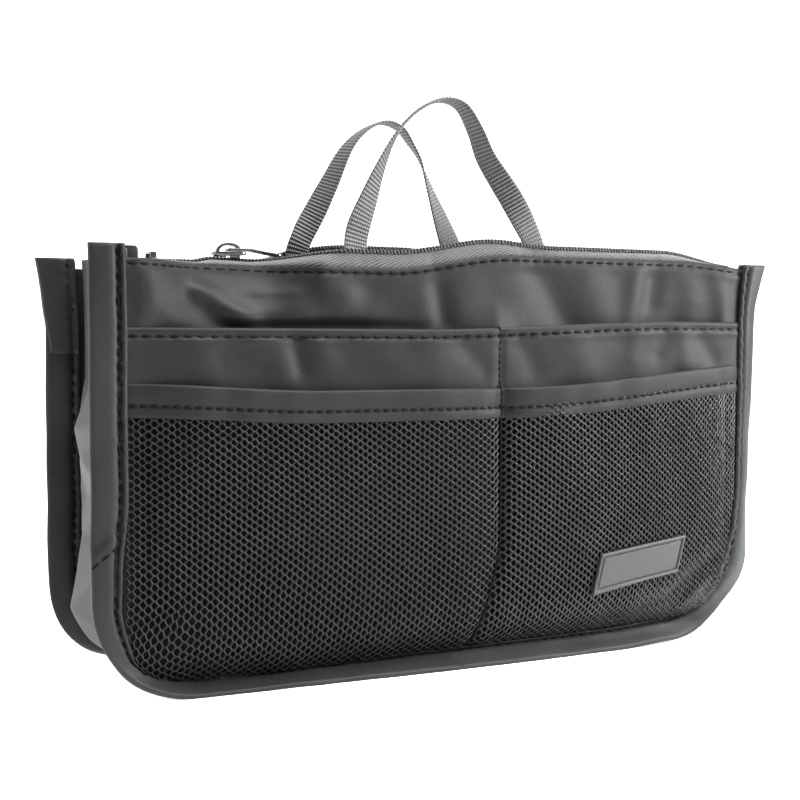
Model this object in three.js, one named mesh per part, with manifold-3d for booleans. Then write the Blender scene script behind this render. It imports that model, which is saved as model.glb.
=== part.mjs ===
// A nylon toiletry bag that also serves as a handbag organiser. Two padded panels carry a flat pocket
// and a mesh pocket each, a folding gusset joins them inside taped edges, and a zip with an open
// slider and two webbing handles close the top.
// Millimetres. X runs along the width, Y from front to back, Z up from the floor.

import * as THREE from 'three';
import Module from 'manifold-3d';

// Overall sizes of the bag at rest.
const BAG_WIDTH = 300;
const BAG_HEIGHT = 167;
const BAG_DEPTH = 80;
const CORNER_RADIUS = 44;

// Cloth and clearances.
const CLOTH = 0.5;
const GAP = 0.3;
const FOAM = 2;

// The taped edge stands out round each panel as a flat fin.
const FIN_WIDTH = 15;
const SEAM_ALLOWANCE = 9;
const FIN_FLARE = 4;
const FLARE_LENGTH = 30;

// The lower edge of each panel tucks back under the bag.
const TUCK_RADIUS = 32;
const TUCK_ANGLE = THREE.MathUtils.degToRad(65);

// Heights above the floor of the panels' levels.
const GUSSET_TOP = 163;
const PANEL_TOP = 161;
const PANEL_RISE = 7;
const HEM_WIDTH = 5.5;
const DRAW_START = 150;
const FLAT_POCKET_TOP = 138;
const MESH_POCKET_TOP = 117;
const MESH_BAND_WIDTH = 12.5;
const POCKET_BELLY = 74;

// Pockets: the centre seam and how far each pocket stands off.
const SEAM_TOP_X = 17;
const SEAM_BOTTOM_X = 8;
const SEAM_HALF = 1.5;
const POCKET_EASE = 4.6;

// Zip: two toothed rows on tapes, closed on the left of the slider.
const ROW_SIZE = 2.2;
const ROW_SPLIT = 1.4;
const TOOTH_PITCH = 4;
const TAPE_RISE = 6.5;
const CLOSED_DIP = 2.5;
const TAPE_SHELF = 3;
const OPEN_REACH = 33;
const OPEN_LENGTH = 39;
const DRAW_IN = 20;
const DRAW_LENGTH = 30;
const SLIDER_FROM_SIDE = 65;
const SLIDER_LENGTH = 13;
const SLIDER_WIDTH = 8.8;
const SLIDER_PLATE = 1.1;
const SLIDER_PLAY = 0.5;
const FLANGE_DROP = 0.6;
const BRIDGE_LENGTH = 10.4;
const BRIDGE_HEIGHT = 3.8;
const BRIDGE_WIDTH = 2.2;
const BRIDGE_BAR = 1.1;
const PULL_LENGTH = 23;
const PULL_WIDTH = 6.5;
const PULL_THICKNESS = 1;
const PULL_PIVOT_HEIGHT = 1;
const PULL_EYE = 7;
const PULL_BEND_AT = 9;
const PULL_BEND = THREE.MathUtils.degToRad(8);
const STOP_LENGTH = 2.5;
const STOP_WALL = 0.8;

// Handles of ribbed webbing.
const WEBBING_WIDTH = 10;
const WEBBING_THICKNESS = 1;
const HANDLE_SPAN = 78;
const HANDLE_RISE = 52.5;
const HANDLE_REACH = 28;
const HINGE_HEIGHT = 178.5;
const ANCHOR_LENGTH = 28;
const ANCHOR_SEWN = 6;

// Small trim.
const TAB_LENGTH = 43;
const TAB_CORNER = 2;
const END_TAB_WIDTH = 5.5;
const END_TAB_THICKNESS = 1.6;
const END_TAB_FOOT = 152;
const END_TAB_TOP = 166.5;
const BADGE_WIDTH = 44;
const BADGE_HEIGHT = 16.5;
const BADGE_THICKNESS = 1.8;
const BADGE_FROM_SIDE = 64;
const BADGE_Z = 36;
const BADGE_SLANT = 3;
const BADGE_RISE = 5.5;

// Layers of a panel, as distances outwards from the shell's face.
const FLAT_POCKET_BACK = GAP;
const MESH_BACK = FLAT_POCKET_BACK + CLOTH + GAP;
const BINDING_FRONT = MESH_BACK + CLOTH + GAP + CLOTH;
const LINING_FACE = -(CLOTH + GAP);
const GUSSET_FACE = LINING_FACE - CLOTH - GAP;
const BINDING_BACK = GUSSET_FACE - CLOTH - GAP - CLOTH;
const SHELF_FACE = BINDING_BACK - 2 * GAP;

// Insets from the outer edge of the fin.
const LAYER_INSET = FIN_WIDTH - SEAM_ALLOWANCE;
const PANEL_INSET = FIN_WIDTH + 4;
const FOAM_INSET = PANEL_INSET + 8;
const GUSSET_INSET = FIN_WIDTH + GAP + CLOTH / 2;

const SLIDER_X = SLIDER_FROM_SIDE - BAG_WIDTH / 2;
const OPEN_END_X = SLIDER_X + OPEN_LENGTH;
const BADGE_X = BAG_WIDTH / 2 - BADGE_FROM_SIDE;
const BEND_HEIGHT = (TUCK_RADIUS + BINDING_FRONT) * Math.sin(TUCK_ANGLE);
const TUCK_LENGTH = TUCK_RADIUS * TUCK_ANGLE;
const CORNER_STEPS = 8;
const FRONT = -1;
const BACK = 1;

const nylon = { color: 0x4a4b4d, roughness: 0.62, metalness: 0 };
const gussetNylon = { color: 0x58595b, roughness: 0.55, metalness: 0 };
const tape = { color: 0x5a5b5d, roughness: 0.7, metalness: 0 };
const lining = { color: 0x3c3d3f, roughness: 0.8, metalness: 0 };
const foam = { color: 0xb9b9b6, roughness: 0.95, metalness: 0 };
const mesh = { color: 0x3f4042, roughness: 0.75, metalness: 0 };
const zipTape = { color: 0x77787a, roughness: 0.8, metalness: 0 };
const zipTeeth = { color: 0x4c4d4f, roughness: 0.4, metalness: 0 };
const nickel = { color: 0xb8b9bb, roughness: 0.28, metalness: 1 };
const webbing = { color: 0x444547, roughness: 0.85, metalness: 0 };
const rubber = { color: 0x505153, roughness: 0.6, metalness: 0 };

const bag = new THREE.Group();

function add(name, geometry, finish, parent = bag) {
  const piece = new THREE.Mesh(geometry, new THREE.MeshStandardMaterial(finish));
  piece.name = name;
  parent.add(piece);
  return piece;
}

const clamp = THREE.MathUtils.clamp;
const lerp = THREE.MathUtils.lerp;
const smoothstep = THREE.MathUtils.smoothstep;

// The value at x on the straight lines through a list of [x, value] pairs, in rising order of x.
function interpolate(pairs, x) {
  let i = 1;
  while (i < pairs.length - 1 && pairs[i][0] < x) i += 1;
  const [x0, v0] = pairs[i - 1];
  const [x1, v1] = pairs[i];
  return lerp(v0, v1, (x - x0) / (x1 - x0));
}

// Turns the faces outwards if the solid came out inside out.
function faceOutwards(geometry) {
  const p = geometry.attributes.position;
  const index = geometry.index.array;
  const [a, b, c] = [new THREE.Vector3(), new THREE.Vector3(), new THREE.Vector3()];
  let volume = 0;
  for (let i = 0; i < index.length; i += 3) {
    a.fromBufferAttribute(p, index[i]);
    b.fromBufferAttribute(p, index[i + 1]);
    c.fromBufferAttribute(p, index[i + 2]);
    volume += a.dot(b.cross(c));
  }
  if (volume < 0) geometry.setIndex(Array.from(index).reverse());
  geometry.computeVertexNormals();
  return geometry;
}

function solidFrom(points, triangles) {
  const geometry = new THREE.BufferGeometry();
  const coordinates = points.flatMap((point) => [point.x, point.y, point.z]);
  geometry.setAttribute('position', new THREE.Float32BufferAttribute(coordinates, 3));
  geometry.setIndex(triangles);
  return faceOutwards(geometry);
}

// A piece of cloth with two faces. at(row, column) gives the two points, one on each face.
function cloth(rows, columns, at) {
  const points = [];
  for (let row = 0; row < rows; row += 1) {
    for (let column = 0; column < columns; column += 1) points.push(...at(row, column));
  }
  const triangles = [];
  const vertex = (row, column, face) => 2 * (row * columns + column) + face;
  const quad = (a, b, c, d) => triangles.push(a, b, c, a, c, d);
  const [lastRow, lastColumn] = [rows - 1, columns - 1];
  for (let i = 0; i < lastRow; i += 1) {
    for (let j = 0; j < lastColumn; j += 1) {
      quad(vertex(i, j, 0), vertex(i, j + 1, 0), vertex(i + 1, j + 1, 0), vertex(i + 1, j, 0));
      quad(vertex(i, j, 1), vertex(i + 1, j, 1), vertex(i + 1, j + 1, 1), vertex(i, j + 1, 1));
    }
  }
  for (let j = 0; j < lastColumn; j += 1) {
    quad(vertex(0, j + 1, 0), vertex(0, j, 0), vertex(0, j, 1), vertex(0, j + 1, 1));
    quad(vertex(lastRow, j, 0), vertex(lastRow, j + 1, 0),
      vertex(lastRow, j + 1, 1), vertex(lastRow, j, 1));
  }
  for (let i = 0; i < lastRow; i += 1) {
    quad(vertex(i, 0, 0), vertex(i + 1, 0, 0), vertex(i + 1, 0, 1), vertex(i, 0, 1));
    quad(vertex(i + 1, lastColumn, 0), vertex(i, lastColumn, 0),
      vertex(i, lastColumn, 1), vertex(i + 1, lastColumn, 1));
  }
  return solidFrom(points, triangles);
}

// A solid through copies of one section. place(station, point) puts a section point in space.
function loft(stations, section, place) {
  const points = [];
  for (let i = 0; i < stations; i += 1) {
    for (const point of section) points.push(place(i, point));
  }
  const sides = section.length;
  const triangles = [];
  for (let i = 0; i < stations - 1; i += 1) {
    for (let j = 0; j < sides; j += 1) {
      const next = (j + 1) % sides;
      const [a, b, c, d] = [i * sides + j, i * sides + next, (i + 1) * sides + next, (i + 1) * sides + j];
      triangles.push(a, b, c, a, c, d);
    }
  }
  const end = (stations - 1) * sides;
  for (const [a, b, c] of THREE.ShapeUtils.triangulateShape(section, [])) {
    const flip = THREE.ShapeUtils.isClockWise(section);
    triangles.push(...(flip ? [a, b, c] : [c, b, a]));
    triangles.push(...(flip ? [end + c, end + b, end + a] : [end + a, end + b, end + c]));
  }
  return solidFrom(points, triangles);
}

// Panels

const clothAt = (z) => z - BEND_HEIGHT + TUCK_LENGTH;
const FIN_TOP = clothAt(BAG_HEIGHT);

// Puts a point of the panel's flat pattern in space: x across, s up the cloth, n outwards.
function onPanel(side, x, s, n) {
  if (s >= TUCK_LENGTH) {
    return new THREE.Vector3(x, side * (BAG_DEPTH / 2 + n), BEND_HEIGHT + s - TUCK_LENGTH);
  }
  const angle = (TUCK_LENGTH - s) / TUCK_RADIUS;
  const reach = BAG_DEPTH / 2 - TUCK_RADIUS + (TUCK_RADIUS + n) * Math.cos(angle);
  return new THREE.Vector3(x, side * reach, BEND_HEIGHT - (TUCK_RADIUS + n) * Math.sin(angle));
}

const flare = (s) => FIN_FLARE * clamp((s - FIN_TOP) / FLARE_LENGTH + 1, 0, 1) ** 2;

// Half the width of the pattern at height s, a given inset inside the fin's outer edge.
function halfWidth(s, inset) {
  const straight = BAG_WIDTH / 2 - CORNER_RADIUS;
  if (s >= CORNER_RADIUS) return BAG_WIDTH / 2 - inset + flare(s);
  if (s < inset) return straight - 0.4 * (inset - s);
  return straight + Math.sqrt((CORNER_RADIUS - inset) ** 2 - (CORNER_RADIUS - s) ** 2);
}

// How far a pattern point lies inside the fin's outer edge.
function insetOf(x, s) {
  const toSide = halfWidth(FIN_TOP - FLARE_LENGTH, 0) + flare(s) - Math.abs(x);
  if (s >= CORNER_RADIUS || toSide >= CORNER_RADIUS) return Math.min(toSide, s);
  return CORNER_RADIUS - Math.hypot(CORNER_RADIUS - toSide, CORNER_RADIUS - s);
}

const seamX = (s) => lerp(SEAM_BOTTOM_X, SEAM_TOP_X, clamp(s / clothAt(MESH_POCKET_TOP), 0, 1));
const plateau = (u) => 1 - (1 - 4 * clamp(u, 0, 1) * (1 - clamp(u, 0, 1))) ** 3;

// How far a pocket's front or the shell behind it has bowed, from 0 at the seams to 1.
function cellBow(x, s) {
  const edge = halfWidth(s, PANEL_INSET);
  const left = x < seamX(s);
  const inner = left ? seamX(s) - SEAM_HALF : seamX(s) + SEAM_HALF;
  const u = left ? (x + edge) / (inner + edge) : (edge - x) / (edge - inner);
  const rise = clamp((s - PANEL_INSET) / (clothAt(POCKET_BELLY) - PANEL_INSET), 0, 1);
  return plateau(u) * (1 - (1 - rise) ** 2);
}

const DRAW_FROM = clothAt(DRAW_START);
const POCKET_HEM = clothAt(FLAT_POCKET_TOP);

// The panel's top edge rises where the open zip lets it stand up.
function panelTop(side, x) {
  const start = side === FRONT ? -25 : -75;
  const length = side === FRONT ? 70 : 55;
  const rise = smoothstep(x, start, start + length) * (1 - smoothstep(x, 118, 148));
  return clothAt(PANEL_TOP + PANEL_RISE * rise);
}

// The closed part of the zip draws the panel's top edge in towards the middle of the bag.
function drawnIn(x) {
  const edge = -(BAG_WIDTH / 2 - PANEL_INSET);
  const end = OPEN_END_X - 10;
  const amount = smoothstep(x, edge, edge + DRAW_LENGTH) * (1 - smoothstep(x, SLIDER_X + 5, end));
  return DRAW_IN * amount;
}

// How far the shell lies inside the flat plane of the panel.
function shellDip(side, x, s) {
  const open = clamp((s - POCKET_HEM) / (DRAW_FROM - POCKET_HEM), 0, 1);
  const edge = halfWidth(s, PANEL_INSET);
  const bow = lerp(cellBow(x, s), plateau((x + edge) / (2 * edge)), open);
  const top = panelTop(side, x);
  const drawn = s < DRAW_FROM ? 0.35 * open : lerp(0.35, 1, (s - DRAW_FROM) / (top - DRAW_FROM));
  return POCKET_EASE * bow + drawnIn(x) * drawn;
}

// A panel layer's point, n outwards from the shell's face.
const onShell = (side, x, s, n) => onPanel(side, x, s, n - shellDip(side, x, s));

const cornerRows = Array.from({ length: CORNER_STEPS + 1 }, (_, i) => {
  const angle = (i / CORNER_STEPS) * (Math.PI / 2);
  return LAYER_INSET + (CORNER_RADIUS - LAYER_INSET) * (1 - Math.cos(angle));
});
const bandFoot = clothAt(MESH_POCKET_TOP - MESH_BAND_WIDTH);
const meshRows = [...cornerRows, clothAt(POCKET_BELLY), bandFoot, clothAt(MESH_POCKET_TOP)];
const pocketRows = [...meshRows, POCKET_HEM];
const panelRows = [...pocketRows, DRAW_FROM];

// Fractions of a pocket cell's width where the panels have their inner columns.
const ZIP_SIDE_COLUMNS = [0.12, 0.22, 0.365, 0.44, 0.51, 0.59, 0.67, 0.82];
const PLAIN_COLUMNS = [0.12, 0.28, 0.5, 0.72, 0.88];

function columnsAt(s, insets, leftFractions) {
  const edge = halfWidth(s, PANEL_INSET);
  const leftSeam = seamX(s) - SEAM_HALF;
  const rightSeam = seamX(s) + SEAM_HALF;
  return [
    ...insets.map((inset) => -halfWidth(s, inset)),
    ...leftFractions.map((f) => lerp(-edge, leftSeam, f)),
    leftSeam,
    rightSeam,
    ...PLAIN_COLUMNS.map((f) => lerp(rightSeam, edge, f)),
    ...insets.toReversed().map((inset) => halfWidth(s, inset)),
  ];
}

const SHELL_INSETS = [LAYER_INSET, PANEL_INSET, FOAM_INSET];
const HEM_LEVEL = clothAt(PANEL_TOP - HEM_WIDTH);
const shellColumns = columnsAt(HEM_LEVEL, SHELL_INSETS, ZIP_SIDE_COLUMNS);

function panelLayer(side, rows, insets, faces) {
  const count = columnsAt(rows[0](0), insets, ZIP_SIDE_COLUMNS).length;
  return cloth(rows.length, count, (row, column) => {
    const level = rows[row](0) > DRAW_FROM ? HEM_LEVEL : rows[row](0);
    const x = columnsAt(level, insets, ZIP_SIDE_COLUMNS)[column];
    const s = rows[row](x);
    return faces(x, s).map((n) => onShell(side, x, s, n));
  });
}

const fixedRows = (levels) => levels.map((s) => () => s);

function shell(side) {
  const top = (x) => panelTop(side, x);
  const rows = [...fixedRows(panelRows), (x) => top(x) - HEM_WIDTH, top];
  return panelLayer(side, rows, SHELL_INSETS, () => [0, -CLOTH]);
}

function liningSheet(side) {
  const rows = [...fixedRows(panelRows), (x) => panelTop(side, x) - HEM_WIDTH - GAP];
  return panelLayer(side, rows, SHELL_INSETS, (x, s) => {
    const room = clamp((insetOf(x, s) - PANEL_INSET) / (FOAM_INSET - PANEL_INSET), 0, 1);
    const face = LINING_FACE - room * (FOAM + GAP);
    return [face, face - CLOTH];
  });
}

function padding(side) {
  const rows = fixedRows(panelRows.filter((s) => s >= FOAM_INSET - 0.01));
  return panelLayer(side, rows, [FOAM_INSET], () => [LINING_FACE, LINING_FACE - FOAM]);
}

function flatPocket(side) {
  const faces = [FLAT_POCKET_BACK + CLOTH, FLAT_POCKET_BACK];
  return cloth(pocketRows.length, 2, (row, column) => {
    const s = pocketRows[row];
    const x = (column ? 1 : -1) * halfWidth(s, LAYER_INSET);
    return faces.map((n) => onPanel(side, x, s, n));
  });
}

const meshFace = (x, s) => MESH_BACK + CLOTH + POCKET_EASE * cellBow(x, s);

function meshPocket(side) {
  const insets = [LAYER_INSET, PANEL_INSET];
  const count = columnsAt(meshRows[0], insets, PLAIN_COLUMNS).length;
  return cloth(meshRows.length, count, (row, column) => {
    const s = meshRows[row];
    const x = columnsAt(s, insets, PLAIN_COLUMNS)[column];
    return [0, -CLOTH].map((n) => onPanel(side, x, s, meshFace(x, s) + n));
  });
}

// The nylon band along the mesh pocket's top: a strip on its face with a lip over its edge.
function meshBand(side) {
  const hem = clothAt(MESH_POCKET_TOP);
  const profile = [
    [[bandFoot, GAP + CLOTH], [bandFoot, GAP]],
    [[hem + GAP + CLOTH, GAP + CLOTH], [hem + GAP, GAP]],
    [[hem + GAP + CLOTH, -CLOTH], [hem + GAP, -CLOTH]],
  ];
  const insets = [FIN_WIDTH + GAP, PANEL_INSET];
  const count = columnsAt(hem, insets, PLAIN_COLUMNS).length;
  return cloth(profile.length, count, (row, column) => {
    const x = columnsAt(hem, insets, PLAIN_COLUMNS)[column];
    return profile[row].map(([s, n]) => onPanel(side, x, s, meshFace(x, s) + n));
  });
}

// The rubber badge plate, a leaning parallelogram on the mesh.
function badge(side) {
  const steps = 5;
  return cloth(3, steps, (row, column) => {
    const across = column / (steps - 1) - 0.5;
    const up = row / 2 - 0.5;
    const x = BADGE_X + across * BADGE_WIDTH + up * BADGE_SLANT;
    const s = clothAt(BADGE_Z) + up * BADGE_HEIGHT + across * BADGE_RISE;
    return [BADGE_THICKNESS, 0].map((n) => onPanel(side, x, s, meshFace(x, s) + GAP + n));
  });
}

// Taped edges and gusset

// Stations down the left side of the outline, round the bottom and up the right side.
const SIDE_LEVELS = [BAG_HEIGHT, GUSSET_TOP, 150, 134, 118, 101, 88, 76, 60];

function outlineStations(top) {
  const left = SIDE_LEVELS.filter((z) => z <= top).map((z) => {
    const s = clothAt(z);
    return { x: -halfWidth(s, 0), s, inX: 1, inS: 0, side: 1 };
  });
  const centreX = -(BAG_WIDTH / 2 - CORNER_RADIUS);
  for (let i = 0; i <= CORNER_STEPS; i += 1) {
    const angle = (i / CORNER_STEPS) * (Math.PI / 2);
    const [inX, inS] = [Math.cos(angle), Math.sin(angle)];
    const x = centreX - CORNER_RADIUS * inX;
    left.push({ x, s: CORNER_RADIUS * (1 - inS), inX, inS, side: 1 - i / CORNER_STEPS });
  }
  const right = left.toReversed().map((at) => ({ ...at, x: -at.x, inX: -at.inX }));
  return [...left, ...right];
}

const atInset = (side, at, inset, n) => onPanel(side, at.x + inset * at.inX, at.s + inset * at.inS, n);

// Binding tape folded round the panel's raw edges, with a slot for what it holds.
function binding(side) {
  const stations = outlineStations(BAG_HEIGHT);
  const slot = LAYER_INSET - 2 * GAP;
  const middle = (slot + FIN_WIDTH) / 2;
  const section = [
    [0, BINDING_BACK + CLOTH], [0, BINDING_FRONT - CLOTH], [CLOTH, BINDING_FRONT],
    [middle, BINDING_FRONT], [FIN_WIDTH, BINDING_FRONT],
    [FIN_WIDTH, BINDING_FRONT - CLOTH], [middle, BINDING_FRONT - CLOTH],
    [slot, BINDING_FRONT - CLOTH], [slot, BINDING_BACK + CLOTH],
    [middle, BINDING_BACK + CLOTH], [FIN_WIDTH, BINDING_BACK + CLOTH],
    [FIN_WIDTH, BINDING_BACK], [middle, BINDING_BACK], [CLOTH, BINDING_BACK],
  ].map(([inset, n]) => new THREE.Vector2(inset, n));
  return loft(stations.length, section, (i, p) => atInset(side, stations[i], p.x, p.y));
}

// The folded-back end of the tape at the top of the back left fin.
function bindingTab(side) {
  const out = GAP + CLOTH;
  const levels = [0, 2, 4, 17, TAB_LENGTH].map((drop) => BAG_HEIGHT - drop);
  const edge = FIN_WIDTH - TAB_CORNER;
  const section = [
    [-out, BINDING_BACK - out], [-out, BINDING_FRONT + out], [edge, BINDING_FRONT + out],
    [edge, BINDING_FRONT + GAP], [-GAP, BINDING_FRONT + GAP], [-GAP, BINDING_BACK - GAP],
    [edge, BINDING_BACK - GAP], [edge, BINDING_BACK - out],
  ].map(([inset, n]) => new THREE.Vector2(inset, n));
  return loft(levels.length, section, (i, p) => {
    const s = clothAt(levels[i]);
    return onPanel(side, -halfWidth(s, 0) + p.x, s, p.y);
  });
}

// How far the crease down the middle of the side gusset stands out, by height.
const CREASE = [[34, 12.5], [60, 8], [76, 6], [88, 8.5], [101, 11], [118, 5], [134, 0], [163, -11]];
const SPAN = [0.08, 0.18, 0.34, 0.5, 0.66, 0.82, 0.92];

function gusset() {
  const stations = outlineStations(GUSSET_TOP);
  const columns = SPAN.length + 8;
  const half = CLOTH / 2;
  return cloth(stations.length, columns, (row, column) => {
    const at = stations[row];
    const side = column < columns / 2 ? FRONT : BACK;
    const fromEdge = Math.min(column, columns - 1 - column);
    if (fromEdge < 2) {
      const inset = fromEdge ? (LAYER_INSET + FIN_WIDTH) / 2 : LAYER_INSET + CLOTH;
      return [GUSSET_FACE - CLOTH, GUSSET_FACE].map((n) => atInset(side, at, inset, n));
    }
    if (fromEdge === 2) {
      return [
        atInset(side, at, GUSSET_INSET - half, GUSSET_FACE - CLOTH),
        atInset(side, at, GUSSET_INSET + half, GUSSET_FACE),
      ];
    }
    const w = fromEdge === 3 ? Number(side === BACK) : SPAN[column - 4];
    const front = atInset(FRONT, at, GUSSET_INSET, SHELF_FACE);
    const back = atInset(BACK, at, GUSSET_INSET, SHELF_FACE);
    const toFold = 1 - Math.abs(2 * w - 1);
    const shape = lerp(Math.min(1, toFold / (2 * SPAN[2])) ** 1.3, toFold, at.side);
    const sag = front.z - half;
    const height = BEND_HEIGHT + at.s - TUCK_LENGTH;
    const crease = interpolate(CREASE, Math.max(height, CREASE[0][0]));
    const out = lerp(sag, crease, at.side) * shape;
    const outward = new THREE.Vector3(-at.inX, 0, -at.inS);
    const middle = front.lerp(back, w);
    return [out + half, out - half].map((d) => middle.clone().addScaledVector(outward, d));
  });
}

// Zip

// How far the rows have opened, from 0 at the slider to 1.
const opened = (x) => smoothstep(x, SLIDER_X + 0.4 * SLIDER_LENGTH, OPEN_END_X);

const rowReach = (x) => lerp((ROW_SPLIT + ROW_SIZE) / 2, OPEN_REACH, opened(x));

// The nodes of a toothed row, one at each column of the panel that carries its tape.
function zipNodes(side) {
  return shellColumns.slice(2, -1).map((x) => {
    const s = panelTop(side, x);
    const level = BEND_HEIGHT + s - TUCK_LENGTH + TAPE_RISE;
    return { x, s, reach: rowReach(x), z: level - CLOSED_DIP * (1 - opened(x)) };
  });
}

const ROW_FOOT = ROW_SIZE / 2 + GAP;
const onSide = (side, x, reach, z) => new THREE.Vector3(x, side * reach, z);

function tapeSheet(side) {
  const nodes = zipNodes(side);
  return cloth(nodes.length, 4, (row, column) => {
    const { x, s, reach, z } = nodes[row];
    const face = LINING_FACE;
    if (column === 0) return [face, face - CLOTH].map((n) => onShell(side, x, s - HEM_WIDTH, n));
    if (column === 1) {
      return [onShell(side, x, s + GAP, face), onShell(side, x, s, face - CLOTH)];
    }
    const top = z - ROW_FOOT;
    const hemReach = Math.abs(onShell(side, x, s, face).y);
    const knee = Math.min(reach + TAPE_SHELF, hemReach - CLOTH);
    const outer = column === 2 ? knee : reach - ROW_SIZE / 2;
    const inner = column === 2 ? knee - CLOTH : outer;
    return [onSide(side, x, outer, top), onSide(side, x, inner, top - CLOTH)];
  });
}

// One row of teeth, wide at each tooth and narrow between them.
function toothRow(side) {
  const nodes = zipNodes(side);
  const reaches = nodes.map((node) => [node.x, node.reach]);
  const heights = nodes.map((node) => [node.x, node.z]);
  const start = nodes[0].x + 1;
  const end = nodes[nodes.length - 1].x - 1;
  const count = 2 * Math.round((end - start) / TOOTH_PITCH) + 1;
  const half = ROW_SIZE / 2;
  const section = [[half, half], [-half, half], [-half, -half], [half, -half]]
    .map(([across, up]) => new THREE.Vector2(across, up));
  return loft(count, section, (i, p) => {
    const x = lerp(start, end, i / (count - 1));
    const scale = i % 2 ? 1 : 0.72;
    return onSide(side, x, interpolate(reaches, x) + p.x * scale, interpolate(heights, x) + p.y * scale);
  });
}

const zipHeight = BEND_HEIGHT + clothAt(PANEL_TOP) - TUCK_LENGTH + TAPE_RISE - CLOSED_DIP;

const manifold = await Module();
manifold.setup();

function toManifold(geometry) {
  const flat = geometry.index ? geometry.toNonIndexed() : geometry;
  const p = flat.attributes.position;
  const keys = new Map();
  const vertices = [];
  const triangles = [];
  for (let i = 0; i < p.count; i += 1) {
    const point = [p.getX(i), p.getY(i), p.getZ(i)];
    const key = point.map((value) => value.toFixed(4)).join();
    if (!keys.has(key)) {
      keys.set(key, vertices.length / 3);
      vertices.push(...point);
    }
    triangles.push(keys.get(key));
  }
  return new manifold.Manifold(new manifold.Mesh({
    numProp: 3,
    vertProperties: new Float32Array(vertices),
    triVerts: new Uint32Array(triangles),
  }));
}

function fromManifold(solid) {
  const { vertProperties, triVerts } = solid.getMesh();
  const geometry = new THREE.BufferGeometry();
  geometry.setAttribute('position', new THREE.BufferAttribute(vertProperties, 3));
  geometry.setIndex(Array.from(triVerts));
  return faceOutwards(geometry);
}

const shapeOf = (points) => new THREE.Shape(points.map(([x, y]) => new THREE.Vector2(x, y)));

// A flat shape given in X and Y, standing from z0 to z1.
function plate(shape, z0, z1) {
  const geometry = new THREE.ExtrudeGeometry(shape, { depth: z1 - z0, bevelEnabled: false, curveSegments: 5 });
  return toManifold(geometry.translate(0, 0, z0));
}

// A profile given in X and Z, as wide as given along Y.
function slab(shape, width) {
  const geometry = new THREE.ExtrudeGeometry(shape, { depth: width, bevelEnabled: false, curveSegments: 5 });
  return toManifold(geometry.translate(0, 0, -width / 2).rotateX(Math.PI / 2));
}

function box(x0, x1, y0, y1, z0, z1) {
  return plate(shapeOf([[x0, y0], [x1, y0], [x1, y1], [x0, y1]]), z0, z1);
}

const PLATE_LOW = -ROW_FOOT - CLOTH - SLIDER_PLAY;
const PLATE_HIGH = ROW_SIZE / 2 + GAP + FLANGE_DROP;
const SLIDER_TOP = PLATE_HIGH + SLIDER_PLATE;

// The slider's outline from above: a narrow tail on the closed side, two shoulders in front.
function sliderOutline() {
  const [half, wide] = [SLIDER_LENGTH / 2, SLIDER_WIDTH / 2];
  const tail = 0.8 * wide;
  const shape = new THREE.Shape();
  shape.moveTo(-half + 1, -tail);
  shape.lineTo(-1, -tail);
  shape.quadraticCurveTo(1, -wide, 3, -wide);
  shape.quadraticCurveTo(half, -wide, half, -wide + 2);
  shape.lineTo(half - 1.6, 0);
  shape.lineTo(half, wide - 2);
  shape.quadraticCurveTo(half, wide, 3, wide);
  shape.quadraticCurveTo(1, wide, -1, tail);
  shape.lineTo(-half + 1, tail);
  shape.quadraticCurveTo(-half, tail, -half, tail - 1);
  shape.lineTo(-half, 1 - tail);
  shape.quadraticCurveTo(-half, -tail, -half + 1, -tail);
  return shape;
}

// The bridge that holds the pull: an arch seen from the side.
function bridgeProfile() {
  const [foot, top, bar] = [BRIDGE_LENGTH / 2, BRIDGE_HEIGHT, BRIDGE_BAR];
  const shape = new THREE.Shape();
  shape.moveTo(-foot, -0.4);
  shape.lineTo(-foot, 0.9);
  shape.quadraticCurveTo(-foot + 1.2, top, 0, top);
  shape.quadraticCurveTo(foot - 1.2, top, foot, 0.9);
  shape.lineTo(foot, -0.4);
  shape.lineTo(foot - bar, -0.4);
  shape.lineTo(foot - bar, 0.8);
  shape.quadraticCurveTo(foot - bar - 1, top - bar, 0, top - bar);
  shape.quadraticCurveTo(-foot + bar + 1, top - bar, -foot + bar, 0.8);
  shape.lineTo(-foot + bar, -0.4);
  return shape;
}

function slider() {
  const outline = sliderOutline();
  const half = SLIDER_LENGTH / 2;
  const divider = (ROW_SPLIT - 2 * GAP) / 2;
  const lip = 0.8 * SLIDER_WIDTH / 2;
  const flange = [-half + 1.2, 0, lip - 0.6, lip, PLATE_HIGH - FLANGE_DROP, PLATE_HIGH + 0.2];
  const [x0, x1, y0, y1, z0, z1] = flange;
  return fromManifold(plate(outline, PLATE_LOW - SLIDER_PLATE, PLATE_LOW)
    .add(plate(outline, PLATE_HIGH, SLIDER_TOP))
    .add(box(0.5, half - 1.8, -divider, divider, PLATE_LOW - 0.2, PLATE_HIGH + 0.2))
    .add(box(x0, x1, y0, y1, z0, z1))
    .add(box(x0, x1, -y1, -y0, z0, z1))
    .add(slab(bridgeProfile(), BRIDGE_WIDTH).translate([0, 0, SLIDER_TOP])));
}

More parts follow.
